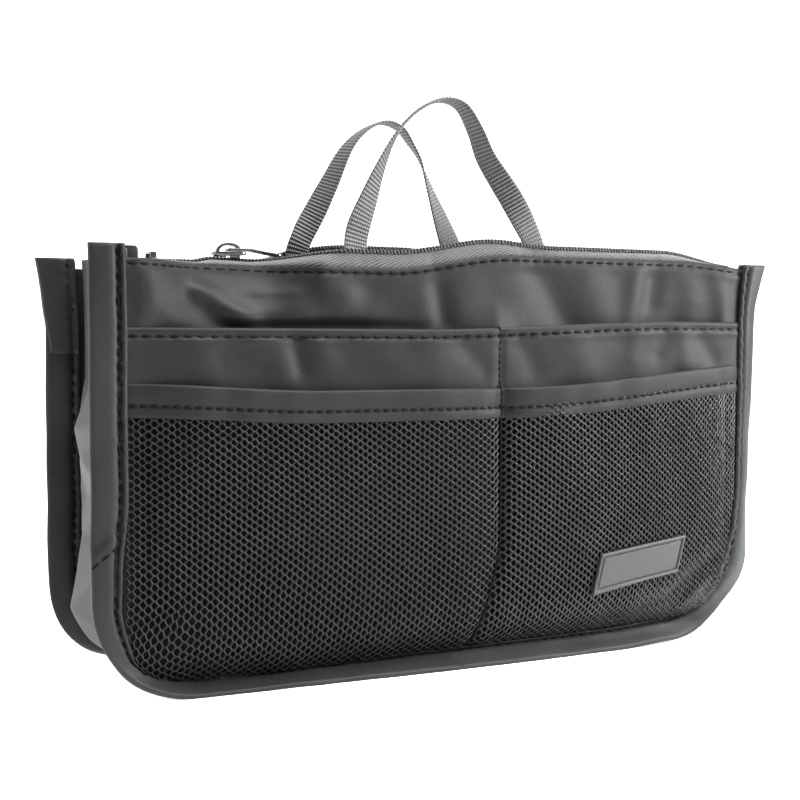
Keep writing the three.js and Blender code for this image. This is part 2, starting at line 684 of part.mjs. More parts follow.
// The pull: a bent leaf with an eye round the bridge. Its pivot is at the origin.
function pull() {
  const [thick, wide] = [PULL_THICKNESS / 2, PULL_WIDTH / 2];
  const leaf = PULL_LENGTH - PULL_BEND_AT;
  const endX = PULL_BEND_AT + leaf * Math.cos(PULL_BEND);
  const endZ = -leaf * Math.sin(PULL_BEND);
  const side = shapeOf([
    [-0.7, -thick], [PULL_BEND_AT, -thick], [endX, endZ - thick],
    [endX, endZ + thick], [PULL_BEND_AT, thick], [-0.7, thick],
  ]);
  const eyeHalf = BRIDGE_WIDTH / 2 + GAP + 0.15;
  const outline = new THREE.Shape();
  outline.moveTo(-0.7, -wide);
  outline.lineTo(PULL_EYE + 1, -wide);
  outline.quadraticCurveTo(PULL_EYE + 3, -wide, PULL_EYE + 5, -0.8 * wide);
  outline.lineTo(endX - wide, -0.8 * wide);
  outline.absarc(endX - 0.8 * wide, 0, 0.8 * wide, -Math.PI / 2, Math.PI / 2, false);
  outline.lineTo(PULL_EYE + 5, 0.8 * wide);
  outline.quadraticCurveTo(PULL_EYE + 3, wide, PULL_EYE + 1, wide);
  outline.lineTo(-0.7, wide);
  return fromManifold(slab(side, PULL_WIDTH)
    .intersect(plate(outline, endZ - 2, 2))
    .subtract(box(0.75, PULL_EYE, -eyeHalf, eyeHalf, -2, 2)));
}

// The metal stop that clasps both rows at the closed end.
function zipStop() {
  const inner = ROW_SIZE + ROW_SPLIT / 2 + GAP;
  const outer = inner + STOP_WALL;
  const roof = ROW_SIZE / 2 + GAP;
  const foot = -ROW_SIZE / 2;
  const shape = shapeOf([
    [-outer, foot], [-inner, foot], [-inner, roof], [inner, roof],
    [inner, foot], [outer, foot], [outer, roof + STOP_WALL], [-outer, roof + STOP_WALL],
  ]);
  const geometry = new THREE.ExtrudeGeometry(shape, { depth: STOP_LENGTH, bevelEnabled: false });
  return geometry.rotateX(Math.PI / 2).rotateZ(Math.PI / 2);
}

// Handles

// A flat strip along a line of points in reach and height, with its own thickness.
function stripShape(points, thickness) {
  const line = points.map(([reach, z]) => new THREE.Vector2(reach, z));
  const normals = line.map((_, i) => {
    const before = line[Math.max(i - 1, 0)];
    const after = line[Math.min(i + 1, line.length - 1)];
    const along = after.clone().sub(before).normalize();
    return new THREE.Vector2(along.y, -along.x).multiplyScalar(thickness / 2);
  });
  const one = line.map((p, i) => p.clone().add(normals[i]));
  const other = line.map((p, i) => p.clone().sub(normals[i]));
  return [...one, ...other.toReversed()];
}

// The sewn foot of a handle, from the lining up to the fold line at the zip.
function anchor(side, x) {
  const half = WEBBING_THICKNESS / 2;
  const wall = BAG_DEPTH / 2 - POCKET_EASE - CLOTH - GAP - FOAM - GAP - CLOTH;
  const sewn = wall - GAP - half;
  const top = HINGE_HEIGHT - half - GAP;
  const foot = HINGE_HEIGHT - ANCHOR_LENGTH;
  const bend = foot + ANCHOR_SEWN;
  const section = stripShape([
    [sewn, foot], [sewn, bend], [HANDLE_REACH, lerp(bend, top, 0.6)], [HANDLE_REACH, top],
  ], WEBBING_THICKNESS);
  return loft(2, section, (i, p) => onSide(side, x + (i - 0.5) * WEBBING_WIDTH, p.x, p.y));
}

// The free loop of a handle. The webbing leaves its feet flat and makes half a turn between them.
function handle(side) {
  const half = HANDLE_SPAN / 2;
  const leg = [[1, 0], [1, 0.07], [0.9, 0.19], [0.64, 0.5], [0.43, 0.77], [0.21, 0.95]];
  const flatShare = 0.04;
  const points = [...leg.map(([x, z]) => [-x, z]), [0, 1], ...leg.toReversed()];
  const path = new THREE.CatmullRomCurve3(
    points.map(([x, z]) => new THREE.Vector3(x * half, 0, z * HANDLE_RISE)), false, 'centripetal');
  const steps = 48;
  const section = [[0.5, 0.5], [-0.5, 0.5], [-0.5, -0.5], [0.5, -0.5]]
    .map(([across, through]) => new THREE.Vector2(across, through));
  const thick = WEBBING_THICKNESS;
  const ends = [[-0.5, 0.3], [-0.35, 0.8]].map(([drop, share]) => [drop * thick, share]);
  const frames = Array.from({ length: steps + 1 }, (_, i) => {
    const u = i / steps;
    return { at: path.getPointAt(u), along: path.getTangentAt(u), u, share: 1 };
  });
  const down = new THREE.Vector3(0, 0, 1);
  const cap = (frame, along) => ends.map(([drop, share]) => ({
    at: frame.at.clone().addScaledVector(down, drop), along, u: frame.u, share,
  }));
  const up = new THREE.Vector3(0, 0, 1);
  frames[0].along = up;
  frames[steps].along = up.clone().negate();
  const all = [
    ...cap(frames[0], up), ...frames, ...cap(frames[steps], frames[steps].along).toReversed(),
  ];
  return loft(all.length, section, (i, p) => {
    const { at, along, u, share } = all[i];
    const wound = THREE.MathUtils.clamp((u - flatShare) / (1 - 2 * flatShare), 0, 1) * 2 - 1;
    const turn = Math.PI / 2 * (1 + Math.sign(wound) * Math.abs(wound) ** 1.3);
    const inPlane = new THREE.Vector3(along.z, 0, -along.x);
    const across = inPlane.multiplyScalar(Math.cos(turn));
    across.y = side * Math.sin(turn);
    const through = across.clone().cross(along).normalize();
    return at.clone()
      .addScaledVector(across, p.x * WEBBING_WIDTH)
      .addScaledVector(through, p.y * thick * share);
  });
}

// The little upright end of tape behind the front panel's left corner.
function endTab() {
  const x0 = -halfWidth(clothAt(PANEL_TOP), PANEL_INSET) + 0.5;
  const face = LINING_FACE - FOAM - CLOTH - 2 * GAP;
  const y = onShell(FRONT, x0 + END_TAB_WIDTH, clothAt(END_TAB_FOOT), face).y;
  const rounding = 1.5;
  const shape = new THREE.Shape();
  shape.moveTo(0, END_TAB_FOOT);
  shape.lineTo(END_TAB_WIDTH, END_TAB_FOOT);
  shape.lineTo(END_TAB_WIDTH, END_TAB_TOP - rounding);
  shape.quadraticCurveTo(END_TAB_WIDTH, END_TAB_TOP, END_TAB_WIDTH - rounding, END_TAB_TOP);
  shape.lineTo(rounding, END_TAB_TOP);
  shape.quadraticCurveTo(0, END_TAB_TOP, 0, END_TAB_TOP - rounding);
  const options = { depth: END_TAB_THICKNESS, bevelEnabled: false, curveSegments: 4 };
  const geometry = new THREE.ExtrudeGeometry(shape, options);
  return geometry.rotateX(Math.PI / 2).translate(x0, y + END_TAB_THICKNESS, 0);
}

// Assembly

for (const [name, side] of [['front', FRONT], ['back', BACK]]) {
  add(`${name}_shell`, shell(side), nylon);
  add(`${name}_foam`, padding(side), foam);
  add(`${name}_lining`, liningSheet(side), lining);
  add(`${name}_flat_pocket`, flatPocket(side), nylon);
  add(`${name}_mesh_pocket`, meshPocket(side), mesh);
  add(`${name}_mesh_band`, meshBand(side), nylon);
  add(`binding_${name}`, binding(side), tape);
  add(`zip_tape_${name}`, tapeSheet(side), zipTape);
  add(`zip_teeth_${name}`, toothRow(side), zipTeeth);
  for (const [end, direction] of [['left', -1], ['right', 1]]) {
    const x = direction * HANDLE_SPAN / 2;
    add(`handle_foot_${name}_${end}`, anchor(side, x), webbing);
  }
  const loop = add(`handle_${name}`, handle(side), webbing);
  loop.position.set(0, side * HANDLE_REACH, HINGE_HEIGHT);
}
add('gusset', gusset(), gussetNylon);
add('binding_tab', bindingTab(BACK), tape);
add('badge_plate', badge(FRONT), rubber);
add('zip_end_tab', endTab(), tape);

const stop = add('zip_stop', zipStop(), nickel);
stop.position.set(shellColumns[2] + 3 * ROW_SIZE, 0, zipHeight);

const sliderGroup = new THREE.Group();
sliderGroup.position.set(SLIDER_X, 0, zipHeight);
bag.add(sliderGroup);
add('zip_slider', slider(), nickel, sliderGroup);
const zipPull = add('zip_pull', pull(), nickel, sliderGroup);
zipPull.position.z = SLIDER_TOP + PULL_PIVOT_HEIGHT;

export default bag;
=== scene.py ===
"""A nylon toiletry bag with mesh pockets, taped edges, an open zip and two webbing handles.

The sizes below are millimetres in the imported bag's frame: X across the front, Y from front to back,
Z up from the floor. Meshes are made in millimetres and stored in metres.
"""

import math

import bmesh
import bpy
import numpy as np
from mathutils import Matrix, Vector


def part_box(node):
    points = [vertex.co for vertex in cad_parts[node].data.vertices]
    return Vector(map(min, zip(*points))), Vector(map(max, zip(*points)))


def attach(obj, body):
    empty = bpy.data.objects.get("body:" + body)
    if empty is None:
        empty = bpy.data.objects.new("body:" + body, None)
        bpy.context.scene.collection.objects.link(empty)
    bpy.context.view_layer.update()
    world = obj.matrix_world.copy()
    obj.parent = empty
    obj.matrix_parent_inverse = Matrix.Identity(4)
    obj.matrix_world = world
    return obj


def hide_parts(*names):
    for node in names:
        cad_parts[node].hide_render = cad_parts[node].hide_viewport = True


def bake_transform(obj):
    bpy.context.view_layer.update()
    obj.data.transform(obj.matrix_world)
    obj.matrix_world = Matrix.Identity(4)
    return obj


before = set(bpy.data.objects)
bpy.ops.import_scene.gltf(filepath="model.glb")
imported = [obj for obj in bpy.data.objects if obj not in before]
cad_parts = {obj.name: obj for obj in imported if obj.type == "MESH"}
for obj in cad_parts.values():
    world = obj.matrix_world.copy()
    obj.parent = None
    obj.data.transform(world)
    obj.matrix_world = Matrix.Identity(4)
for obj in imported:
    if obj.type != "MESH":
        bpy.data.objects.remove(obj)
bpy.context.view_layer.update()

MM = 0.001
FRONT, BACK = -1, 1


def size_of(node):
    """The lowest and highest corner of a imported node, in millimetres."""
    low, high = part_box(node)
    return np.array(low) / MM, np.array(high) / MM


# Overall sizes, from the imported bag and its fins, whose tips lean out past the bag's width.
fin_high = size_of("binding_front")[1]
FIN_LEAN = 4
BAG_WIDTH = 2 * (fin_high[0] - FIN_LEAN)
BAG_HEIGHT = fin_high[2]
BAG_DEPTH = 80
CORNER_RADIUS = 44
FLARE_LENGTH = 30
TUCK_RADIUS = 32
TUCK_ANGLE = math.radians(65)
PANEL_THICKNESS = 2.4
BEND_HEIGHT = (TUCK_RADIUS + PANEL_THICKNESS) * math.sin(TUCK_ANGLE)
TUCK_LENGTH = TUCK_RADIUS * TUCK_ANGLE

# Insets from the outer edge of the fin, and how far inside the panels' planes the gusset starts.
FIN_WIDTH = 15
SPLAY_WIDTH = 13.5
LAYER_INSET = 6
PANEL_INSET = 19
GUSSET_INSET = 15.55
GUSSET_DEPTH = 3.5

# Cloth and layers, as distances outwards from the shell's face.
CLOTH = 0.5
FLAT_FACE = 0.8
MESH_FACE = 1.6
FOAM = 2
POCKET_EASE = 4.6

# Levels and seams of a panel.
PANEL_TOP = 161.3
PANEL_RISE = 6.8
HEM_WIDTH = 5.5
DRAW_START = 150
FLAT_POCKET_TOP = 138
POCKET_BELLY = 74
BAND_WIDTH = 12.5
SEAM_X = 17
SEAM_BEND = 50

# Zip.
SLIDER_X = -85
SLIDER_LENGTH = 13
OPEN_END_X = -46
OPEN_REACH = 33
ROW_SIZE = 2.2
ROW_SPLIT = 1.4
TAPE_RISE = 6.4
CLOSED_DIP = 3.4
DRAW_IN = 20
DRAW_LENGTH = 30
COIL_PITCH = 1.5
COIL_WIRE = 0.62
COIL_RADIUS = 0.5

# Handles.
WEBBING_WIDTH = 10
WEBBING_THICKNESS = 1
HANDLE_REACH = 28
FOOT_LENGTH = 27
HINGE_HEIGHT = 178.5
RIB_PITCH = 1.6
YARN = 1

# Badge: its middle, its size, and how far it leans and rises.
BADGE_X = 83
BADGE_Z = 38.2
BADGE_WIDTH = 43.5
BADGE_HEIGHT = 15.6
BADGE_THICKNESS = 1.8
BADGE_SLANT = 4.1
BADGE_RISE = 5.45

# Stitches.
THREAD = 1.1
HEM_STITCH = 5.2
BAND_STITCH = 3.9
FIN_STITCH = 4.6
SEAM_STITCH = 2.7


def smooth(x, low, high):
    t = np.clip((x - low) / (high - low), 0, 1)
    return t * t * (3 - 2 * t)


def mix(a, b, t):
    return a + (b - a) * t


# Shapes of the sewn panels


def cloth_at(z):
    """How far up the cloth a height above the floor lies."""
    return z - BEND_HEIGHT + TUCK_LENGTH


def height_of(s):
    return s + BEND_HEIGHT - TUCK_LENGTH


FIN_TOP = cloth_at(BAG_HEIGHT)


# How far the filled bag's own weight lowers its bottom seam, from left to right.
SETTLED = [(-150, 4), (-125, 6), (-80, 7), (-10, 4.8), (70, 2.2), (125, 0), (150, 0)]

# How far back the front's right edge leans at the heights given first.
RIGHT_LEAN = [(-5, 0), (10, 2), (40, 6), (60, 6.5), (110, 5), (150, 2.5), (170, 0)]

# How far the lower corners are pressed in at the left and the right, and the front's left one pulled out.
CORNER_PRESS = {FRONT: (1.2, 4.5), BACK: (-2, -2)}
CORNER_PULL = 4.5

# The lowest that the panels, the tape and the gusset come to the floor.
PANEL_LOWEST, TAPE_LOWEST, GUSSET_LOWEST = 0.05, 0.03, 0.02


def along_list(pairs, x):
    """The value at x between the pairs of a list."""
    return np.interp(x, *np.array(pairs, float).T)


def bump_at(x, centre, width):
    """A smooth bump of height 1 round a centre."""
    return np.exp(-(((x - centre) / width) ** 2))


def on_panel(side, x, s, n):
    """Points at x across, s up the cloth and n outwards of the panel's plane.

    The cloth is tucked under below, and its outermost edge, the fin, is splayed forward over the floor.
    """
    x, s, n = np.broadcast_arrays(np.asarray(x, float), s, n)
    over = np.maximum(np.abs(x) - (BAG_WIDTH / 2 - CORNER_RADIUS), 0)
    under = np.maximum(CORNER_RADIUS - s, 0)
    away = np.maximum(np.hypot(over, under), 1e-6)
    inset = CORNER_RADIUS - away
    corner = (2 * over * under / away**2) ** 2
    pressed = np.where(x < 0, *CORNER_PRESS[side]) * corner * (1 - smooth(inset, 8, 42))
    x, s = x - np.sign(x) * pressed * over / away, s + pressed * under / away
    if side == FRONT:
        pulled = CORNER_PULL * corner * (x < 0)
        pulled = pulled * np.clip(inset / 13, 0, 1) * (1 - smooth(inset, 14, 42))
        x, s = x - pulled * over / away, s - pulled * under / away
    angle = np.maximum(TUCK_LENGTH - s, 0) / TUCK_RADIUS
    plane = BEND_HEIGHT + np.maximum(s - TUCK_LENGTH, 0)
    tucked = plane - TUCK_RADIUS * np.sin(angle)
    settled = along_list(SETTLED, x) * (1 - smooth(tucked, 6, 55))
    reach = BAG_DEPTH / 2 - TUCK_RADIUS + TUCK_RADIUS * np.cos(angle) - 0.5 * settled
    z = tucked - settled
    splayed = 1 - np.clip(inset / SPLAY_WIDTH, 0, 1)
    flat = np.clip(s / TUCK_LENGTH, 0, 1)
    bowed = 0.5 + 2.5 * bump_at(x, 0, 70)
    reach = mix(reach, BAG_DEPTH / 2 + bowed * (1 - smooth(flat, 0, 1)), splayed)
    z = mix(z, plane - (1 - flat**1.25) * (BEND_HEIGHT - 0.5), splayed)
    if side == FRONT:
        reach = reach - along_list(RIGHT_LEAN, z) * smooth(x, 95, 125) * splayed**1.2
    facing = mix(-angle, 1.2 * (1 - smooth(flat, 0, 1)), splayed)
    z = np.maximum(z + n * np.sin(facing), PANEL_LOWEST)
    return np.stack([x, side * (reach + n * np.cos(facing)), z], -1)


def flare(s):
    """How far the cloth's sides lean outwards at the top."""
    return np.clip((s - FIN_TOP) / FLARE_LENGTH + 1, 0, 1) ** 2


def half_width(s, inset):
    """Half the panel's width at s, measured a given inset inside the fin's outer edge."""
    s = np.asarray(s, float)
    straight = BAG_WIDTH / 2 - CORNER_RADIUS
    round_part = np.maximum((CORNER_RADIUS - inset) ** 2 - (CORNER_RADIUS - s) ** 2, 0)
    corner = straight + np.sqrt(round_part) - 0.4 * np.maximum(inset - s, 0)
    return np.where(s >= CORNER_RADIUS, BAG_WIDTH / 2 - inset + flare(s), corner)


def plateau(u):
    u = np.clip(u, 0, 1)
    return 1 - (1 - 4 * u * (1 - u)) ** 3


def mesh_top(x):
    """Height of the mesh pockets' top edge, which sags between the fins."""
    return 113.6 + 3.4 * smooth(-x, 60, 140) + 9 * smooth(x, 10, 150) ** 1.3


def flat_top(x):
    """Height of the flat pockets' hem."""
    return 137.2 + 4.2 * smooth(x, -20, 110)


def seam_x(s):
    """The seam between the pockets: straight down, then bent to the left under its bend height."""
    return SEAM_X - 12.5 * np.clip((SEAM_BEND - height_of(s)) / 45, 0, 1) ** 1.2


def cell_share(x, s):
    """Where a point lies across its pocket, from 0 at one seam to 1 at the other."""
    edge = half_width(s, PANEL_INSET)
    seam = seam_x(s)
    return np.where(x < seam, (x + edge) / (seam + edge), (edge - x) / (edge - seam))


def cell_bow(x, s):
    """How far a pocket's front or the shell behind it has bowed, from 0 at the seams to 1."""
    rise = np.clip((s - PANEL_INSET) / (cloth_at(POCKET_BELLY) - PANEL_INSET), 0, 1)
    return plateau(cell_share(x, s)) * (1 - (1 - rise) ** 2)


def panel_top(side, x):
    """How far up the cloth the panel's top edge lies. It rises where the open zip lets it stand."""
    start, length = (-30, 56) if side == FRONT else (-75, 55)
    rise = smooth(x, start, start + length) * (1 - smooth(x, 105, 180))
    return cloth_at(PANEL_TOP + PANEL_RISE * rise + 0.9 * smooth(-x, 60, 100))


def drawn_in(x):
    """How far the closed part of the zip draws the panel's top edge in."""
    edge = PANEL_INSET - BAG_WIDTH / 2
    release = 1 - smooth(x, SLIDER_X + 5, OPEN_END_X - 10)
    return DRAW_IN * smooth(x, edge, edge + DRAW_LENGTH) * release


def shell_dip(side, x, s):
    """How far the shell lies inside the flat plane of the panel."""
    hem, draw_from = cloth_at(FLAT_POCKET_TOP), cloth_at(DRAW_START)
    opened = np.clip((s - hem) / (draw_from - hem), 0, 1)
    edge = half_width(s, PANEL_INSET)
    bow = mix(cell_bow(x, s), plateau((x + edge) / (2 * edge)), opened)
    above = np.clip((s - draw_from) / (panel_top(side, x) - draw_from), 0, 1)
    drawn = 0.35 * smooth(opened, 0, 1.3) + 0.65 * above**1.3
    return POCKET_EASE * bow + drawn_in(x) * drawn


# Folds of the cloth as x0, z0, x1, z1, half the width and how far they stand out.
SHELL_FOLDS = {
    FRONT: [
        (-106, 151.5, -88, 140, 4.6, 2.6),
        (-112, 147, -97, 136, 5, -1.6),
        (-127, 146, -122, 143, 7, 1.1),
        (-126, 157, -117, 155, 8, 0.7),
        (-86, 158, -70, 150, 6, 1.4),
        (-80, 146, -66, 143, 6, 0.9),
        (-63, 158, -50, 150, 7, 1.7),
        (-42, 158, -30, 146, 8, -0.9),
        (-10, 163, -6, 141, 4.5, -1.7),
        (3, 162, 6, 143, 8, 0.6),
        (38, 164, 52, 141, 8, -1.8),
        (64, 160, 70, 144, 8, 0.9),
        (84, 140, 88, 164, 5, 1.4),
        (97, 163, 95, 150, 5, -1.2),
        (112, 160, 116, 142, 7, 0.9),
        (128, 162, 134, 144, 5, 1.0),
    ],
    BACK: [
        (-113, 156, -88, 138, 6, -2.6),
        (-118, 160, -96, 148, 6, 1.6),
        (-84, 158, -60, 143, 7, 1.3),
        (-62, 162, -40, 144, 6, -1.4),
        (-20, 166, -14, 142, 8, 1.1),
        (5, 166, 12, 142, 5, -1.2),
        (42, 166, 34, 142, 9, 1.0),
        (66, 166, 60, 144, 5, -1.1),
        (100, 164, 92, 142, 7, 1.1),
        (122, 160, 108, 141, 6, -0.9),
    ],
}
FLAT_FOLDS = {
    FRONT: [
        (-73, 134, -70, 122, 4, -1.6),
        (-62, 131, -60, 126, 6, 0.9),
        (-100, 125, -86, 122, 6, -1.0),
        (-88, 136, -76, 122, 7, 1.0),
        (-112, 133, -106, 122, 8, 0.8),
        (-40, 133, -30, 122, 10, 0.8),
        (-3, 135, 9, 122, 5, -0.9),
        (-16, 134, -12, 122, 8, 0.8),
        (26, 134, 33, 122, 6, -1.2),
        (50, 136, 57, 123, 9, 1.3),
        (98, 137, 95, 128, 4.5, -0.9),
        (84, 138, 82, 126, 5, 0.8),
        (116, 137, 125, 126, 5, -1.2),
        (108, 137, 110, 124, 5, 0.8),
    ],
    BACK: [
        (-104, 134, -98, 122, 6, -1.2),
        (-60, 134, -52, 121, 5, -0.9),
        (-80, 134, -78, 122, 9, 0.8),
        (-18, 134, -24, 121, 6, -1.0),
        (40, 137, 48, 122, 7, -1.3),
        (84, 137, 78, 124, 5, -0.9),
        (118, 138, 108, 124, 5, -1.0),
    ],
}


def fold_depth(folds, x, z):
    total = np.zeros(np.broadcast(x, z).shape)
    for x0, z0, x1, z1, width, depth in folds:
        dx, dz = x1 - x0, z1 - z0
        t = np.clip(((x - x0) * dx + (z - z0) * dz) / (dx * dx + dz * dz), 0, 1)
        away = np.hypot(x - x0 - t * dx, z - z0 - t * dz)
        total += depth * np.exp(-((away / width) ** 2))
    return total


def ripple(u, v, seed):
    """A gentle unevenness of about one millimetre's height, from a few crossed waves."""
    rng = np.random.default_rng(seed)
    total = np.zeros(np.broadcast(u, v).shape)
    for _ in range(7):
        angle, length, phase = rng.uniform(0, math.pi), rng.uniform(14, 46), rng.uniform(0, 6.3)
        total += np.sin((u * np.cos(angle) + v * np.sin(angle)) * 2 * math.pi / length + phase)
    return total / 7


def hem_relief(x, below, width, stitch):
    """The doubled cloth of a hem: a rolled edge, and a puckered groove where it is sewn."""
    roll = 1 - np.clip(below / 1.3, 0, 1)
    rolled = -0.9 * (1 - np.sqrt(np.maximum(1 - roll**2, 0)))
    doubled = 0.35 * (1 - smooth(below, width - 1, width + 2.5))
    tight = 0.75 + 0.35 * np.cos(2 * math.pi * x / HEM_STITCH)
    groove = -0.85 * tight * bump_at(below, stitch, 0.95)
    puff = 0.12 * bump_at(below, stitch + 1.6, 0.8)
    return rolled + doubled + groove + puff


def shell_face(side, x, s):
    below = panel_top(side, x) - s
    folds = fold_depth(SHELL_FOLDS[side], x, height_of(s)) + 0.5 * ripple(x, s, 11 + side)
    shown = smooth(s, cloth_at(126), cloth_at(142)) * smooth(BAG_WIDTH / 2 - np.abs(x), 15, 24)
    hollow = 2.6 * bump_at(height_of(s), 137.5, 3.2) * smooth(x, -112, -84) * (1 - smooth(x, -45, 5))
    folded = folds * shown * (0.4 + 0.6 * smooth(below, 2, 9)) - hollow
    return folded + hem_relief(x, below, HEM_WIDTH, 2.2) - shell_dip(side, x, s)


def flat_face(side, x, s):
    top = cloth_at(flat_top(x))
    folds = fold_depth(FLAT_FOLDS[side], x, height_of(s)) + 0.3 * ripple(x, s, 21 + side)
    at_edges = smooth(BAG_WIDTH / 2 - np.abs(x), 15, 24)
    stood_off = 0.7 * plateau(cell_share(x, s)) * smooth(s, cloth_at(100), top)
    seam = -0.9 * bump_at(x, seam_x(s), 1.3)
    relief = hem_relief(x, top - s, 6, 3.4)
    return FLAT_FACE + stood_off + seam + relief + folds * at_edges * smooth(top - s, 1, 5)


def filled_face(x, s):
    """The smooth face of a mesh pocket that has bowed out."""
    return MESH_FACE + (POCKET_EASE - 0.3) * cell_bow(x, s)


# Folds of the front mesh pockets.
MESH_FOLDS = [
    (88, 10, 124, 36, 5, -2.2),
    (100, 8, 130, 28, 4, 1.2),
    (-118, 52, -60, 24, 9, -1.0),
    (-100, 92, -60, 60, 12, 1.0),
    (-40, 100, -20, 50, 14, -0.9),
    (40, 100, 60, 60, 10, 0.9),
    (8, 60, 6, 20, 10, 0.8),
]


def mesh_face(x, s):
    seam = -1.1 * bump_at(x, seam_x(s), 2.6)
    uneven = (0.6 * ripple(x, s, 31) + fold_depth(MESH_FOLDS, x, height_of(s))) * plateau(cell_share(x, s))
    pressed = 1.3 * (1 - smooth(np.minimum(half_width(s, 0) - np.abs(x), s), 11, 19))
    return np.maximum(filled_face(x, s) + uneven, 1.4) + seam - pressed


# Meshes


def linked(name, data):
    """A new object at the origin, linked to the scene."""
    made = bpy.data.objects.new(name, data)
    bpy.context.scene.collection.objects.link(made)
    return made


def closed_piece(name, points, faces, uvs, finish):
    """A closed piece from points in millimetres, its faces turned outwards.

    uvs gives each point's place on the cloth.
    """
    mesh = bpy.data.meshes.new(name)
    mesh.from_pydata((points * MM).tolist(), [], faces)
    cloth_map = mesh.uv_layers.new(name="cloth")
    corners = np.empty(len(mesh.loops), np.int32)
    mesh.loops.foreach_get("vertex_index", corners)
    cloth_map.data.foreach_set("uv", (uvs[corners] * MM).astype(np.float32).ravel())
    mesh.shade_smooth()
    mesh.materials.append(finish)
    work = bmesh.new()
    work.from_mesh(mesh)
    bmesh.ops.recalc_face_normals(work, faces=work.faces)
    work.to_mesh(mesh)
    work.free()
    return linked(name, mesh)


def grid_faces(rows, columns, start=0):
    index = start + np.arange(rows * columns).reshape(rows, columns)
    corners = [index[:-1, :-1], index[:-1, 1:], index[1:, 1:], index[1:, :-1]]
    return np.stack(corners, -1).reshape(-1, 4), index


def cloth(name, face, back, uv, finish):
    """A closed sheet between two grids of points."""
    rows, columns = face.shape[:2]
    front_faces, index = grid_faces(rows, columns)
    back_faces, behind = grid_faces(rows, columns, rows * columns)
    rim = np.concatenate([index[0, :-1], index[:-1, -1], index[-1, :0:-1], index[:0:-1, 0]])
    rim_back = np.concatenate([behind[0, :-1], behind[:-1, -1], behind[-1, :0:-1], behind[:0:-1, 0]])
    sides = np.stack([rim, rim_back, np.roll(rim_back, -1), np.roll(rim, -1)], -1)
    faces = np.concatenate([front_faces, back_faces[:, ::-1], sides])
    points = np.concatenate([face.reshape(-1, 3), back.reshape(-1, 3)])
    uvs = np.concatenate([uv.reshape(-1, 2), uv.reshape(-1, 2)]).astype(float)
    return closed_piece(name, points, faces.tolist(), uvs, finish)


def layer(name, side, across, s, face, back, finish):
    """A sheet of a panel between two distances out of its plane."""
    uv = np.stack(np.broadcast_arrays(across, s), -1)
    return cloth(name, on_panel(side, across, s, face), on_panel(side, across, s, back), uv, finish)


def loft(name, rings, uv, finish):
    """A tube with closed ends through rings of points, shape (stations, around, 3)."""
    stations, around = rings.shape[:2]
    index = np.arange(stations * around).reshape(stations, around)
    turned = np.roll(index, -1, axis=1)
    corners = [index[:-1], turned[:-1], turned[1:], index[1:]]
    faces = np.stack(corners, -1).reshape(-1, 4).tolist()
    faces += [index[0, ::-1].tolist(), index[-1].tolist()]
    return closed_piece(name, rings.reshape(-1, 3), faces, uv.reshape(-1, 2), finish)


def ride_for(piece, body, slot, *nodes):
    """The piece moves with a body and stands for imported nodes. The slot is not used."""
    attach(piece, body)
    if nodes:
        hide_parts(*nodes)
    return piece


# Materials


def colour(code):
    """A linear colour from an sRGB hex code."""
    parts = [int(code[i : i + 2], 16) / 255 for i in (1, 3, 5)]
    linear = [c / 12.92 if c <= 0.04045 else ((c + 0.055) / 1.055) ** 2.4 for c in parts]
    return (*linear, 1)


def add(tree, kind, inputs=(), **settings):
    """Adds a node with its settings, and its inputs as values or as another node's output."""
    node = tree.nodes.new(kind)
    for key, value in settings.items():
        setattr(node, key, value)
    for key, value in dict(inputs).items():
        if isinstance(value, bpy.types.NodeSocket):
            tree.links.new(value, node.inputs[key])
        else:
            node.inputs[key].default_value = value
    return node


def bands(period):
    """The Scale at which a Wave Texture's bands repeat after a length in metres."""
    return 2 * math.pi / 20 / period


def new_finish(name):
    """An empty material with its shader."""
    made = bpy.data.materials.new(name)
    made.use_nodes = True
    tree = made.node_tree
    return made, tree, tree.nodes["Principled BSDF"]


def set_shader(shader, **values):
    for key, value in values.items():
        shader.inputs[key.replace("_", " ")].default_value = value


def two_tones(tree, share, low, high, start, end):
    """A colour that runs from one tone to the other while a share runs from start to end."""
    ramp = add(tree, "ShaderNodeValToRGB", {"Fac": share})
    for element, code, place in zip(ramp.color_ramp.elements, (low, high), (start, end)):
        element.position = place
        element.color = colour(code)
    return ramp.outputs["Color"]


def blotches(tree, vector, scale, low, high):
    """A soft uneven mix of two colours."""
    noise = add(tree, "ShaderNodeTexNoise", {"Vector": vector, "Scale": scale, "Detail": 3})
    return two_tones(tree, noise.outputs["Fac"], low, high, 0.3, 0.72)


def dress(tree, shader, tint, bump, **values):
    """Joins a colour and a bump to the shader and sets its other values."""
    tree.links.new(tint, shader.inputs["Base Color"])
    tree.links.new(bump.outputs["Normal"], shader.inputs["Normal"])
    set_shader(shader, **values)


# The spacing of the nylon's threads and the height of its weave.
WEAVE_SPACING = 0.34
WEAVE_HEIGHT = 0.04


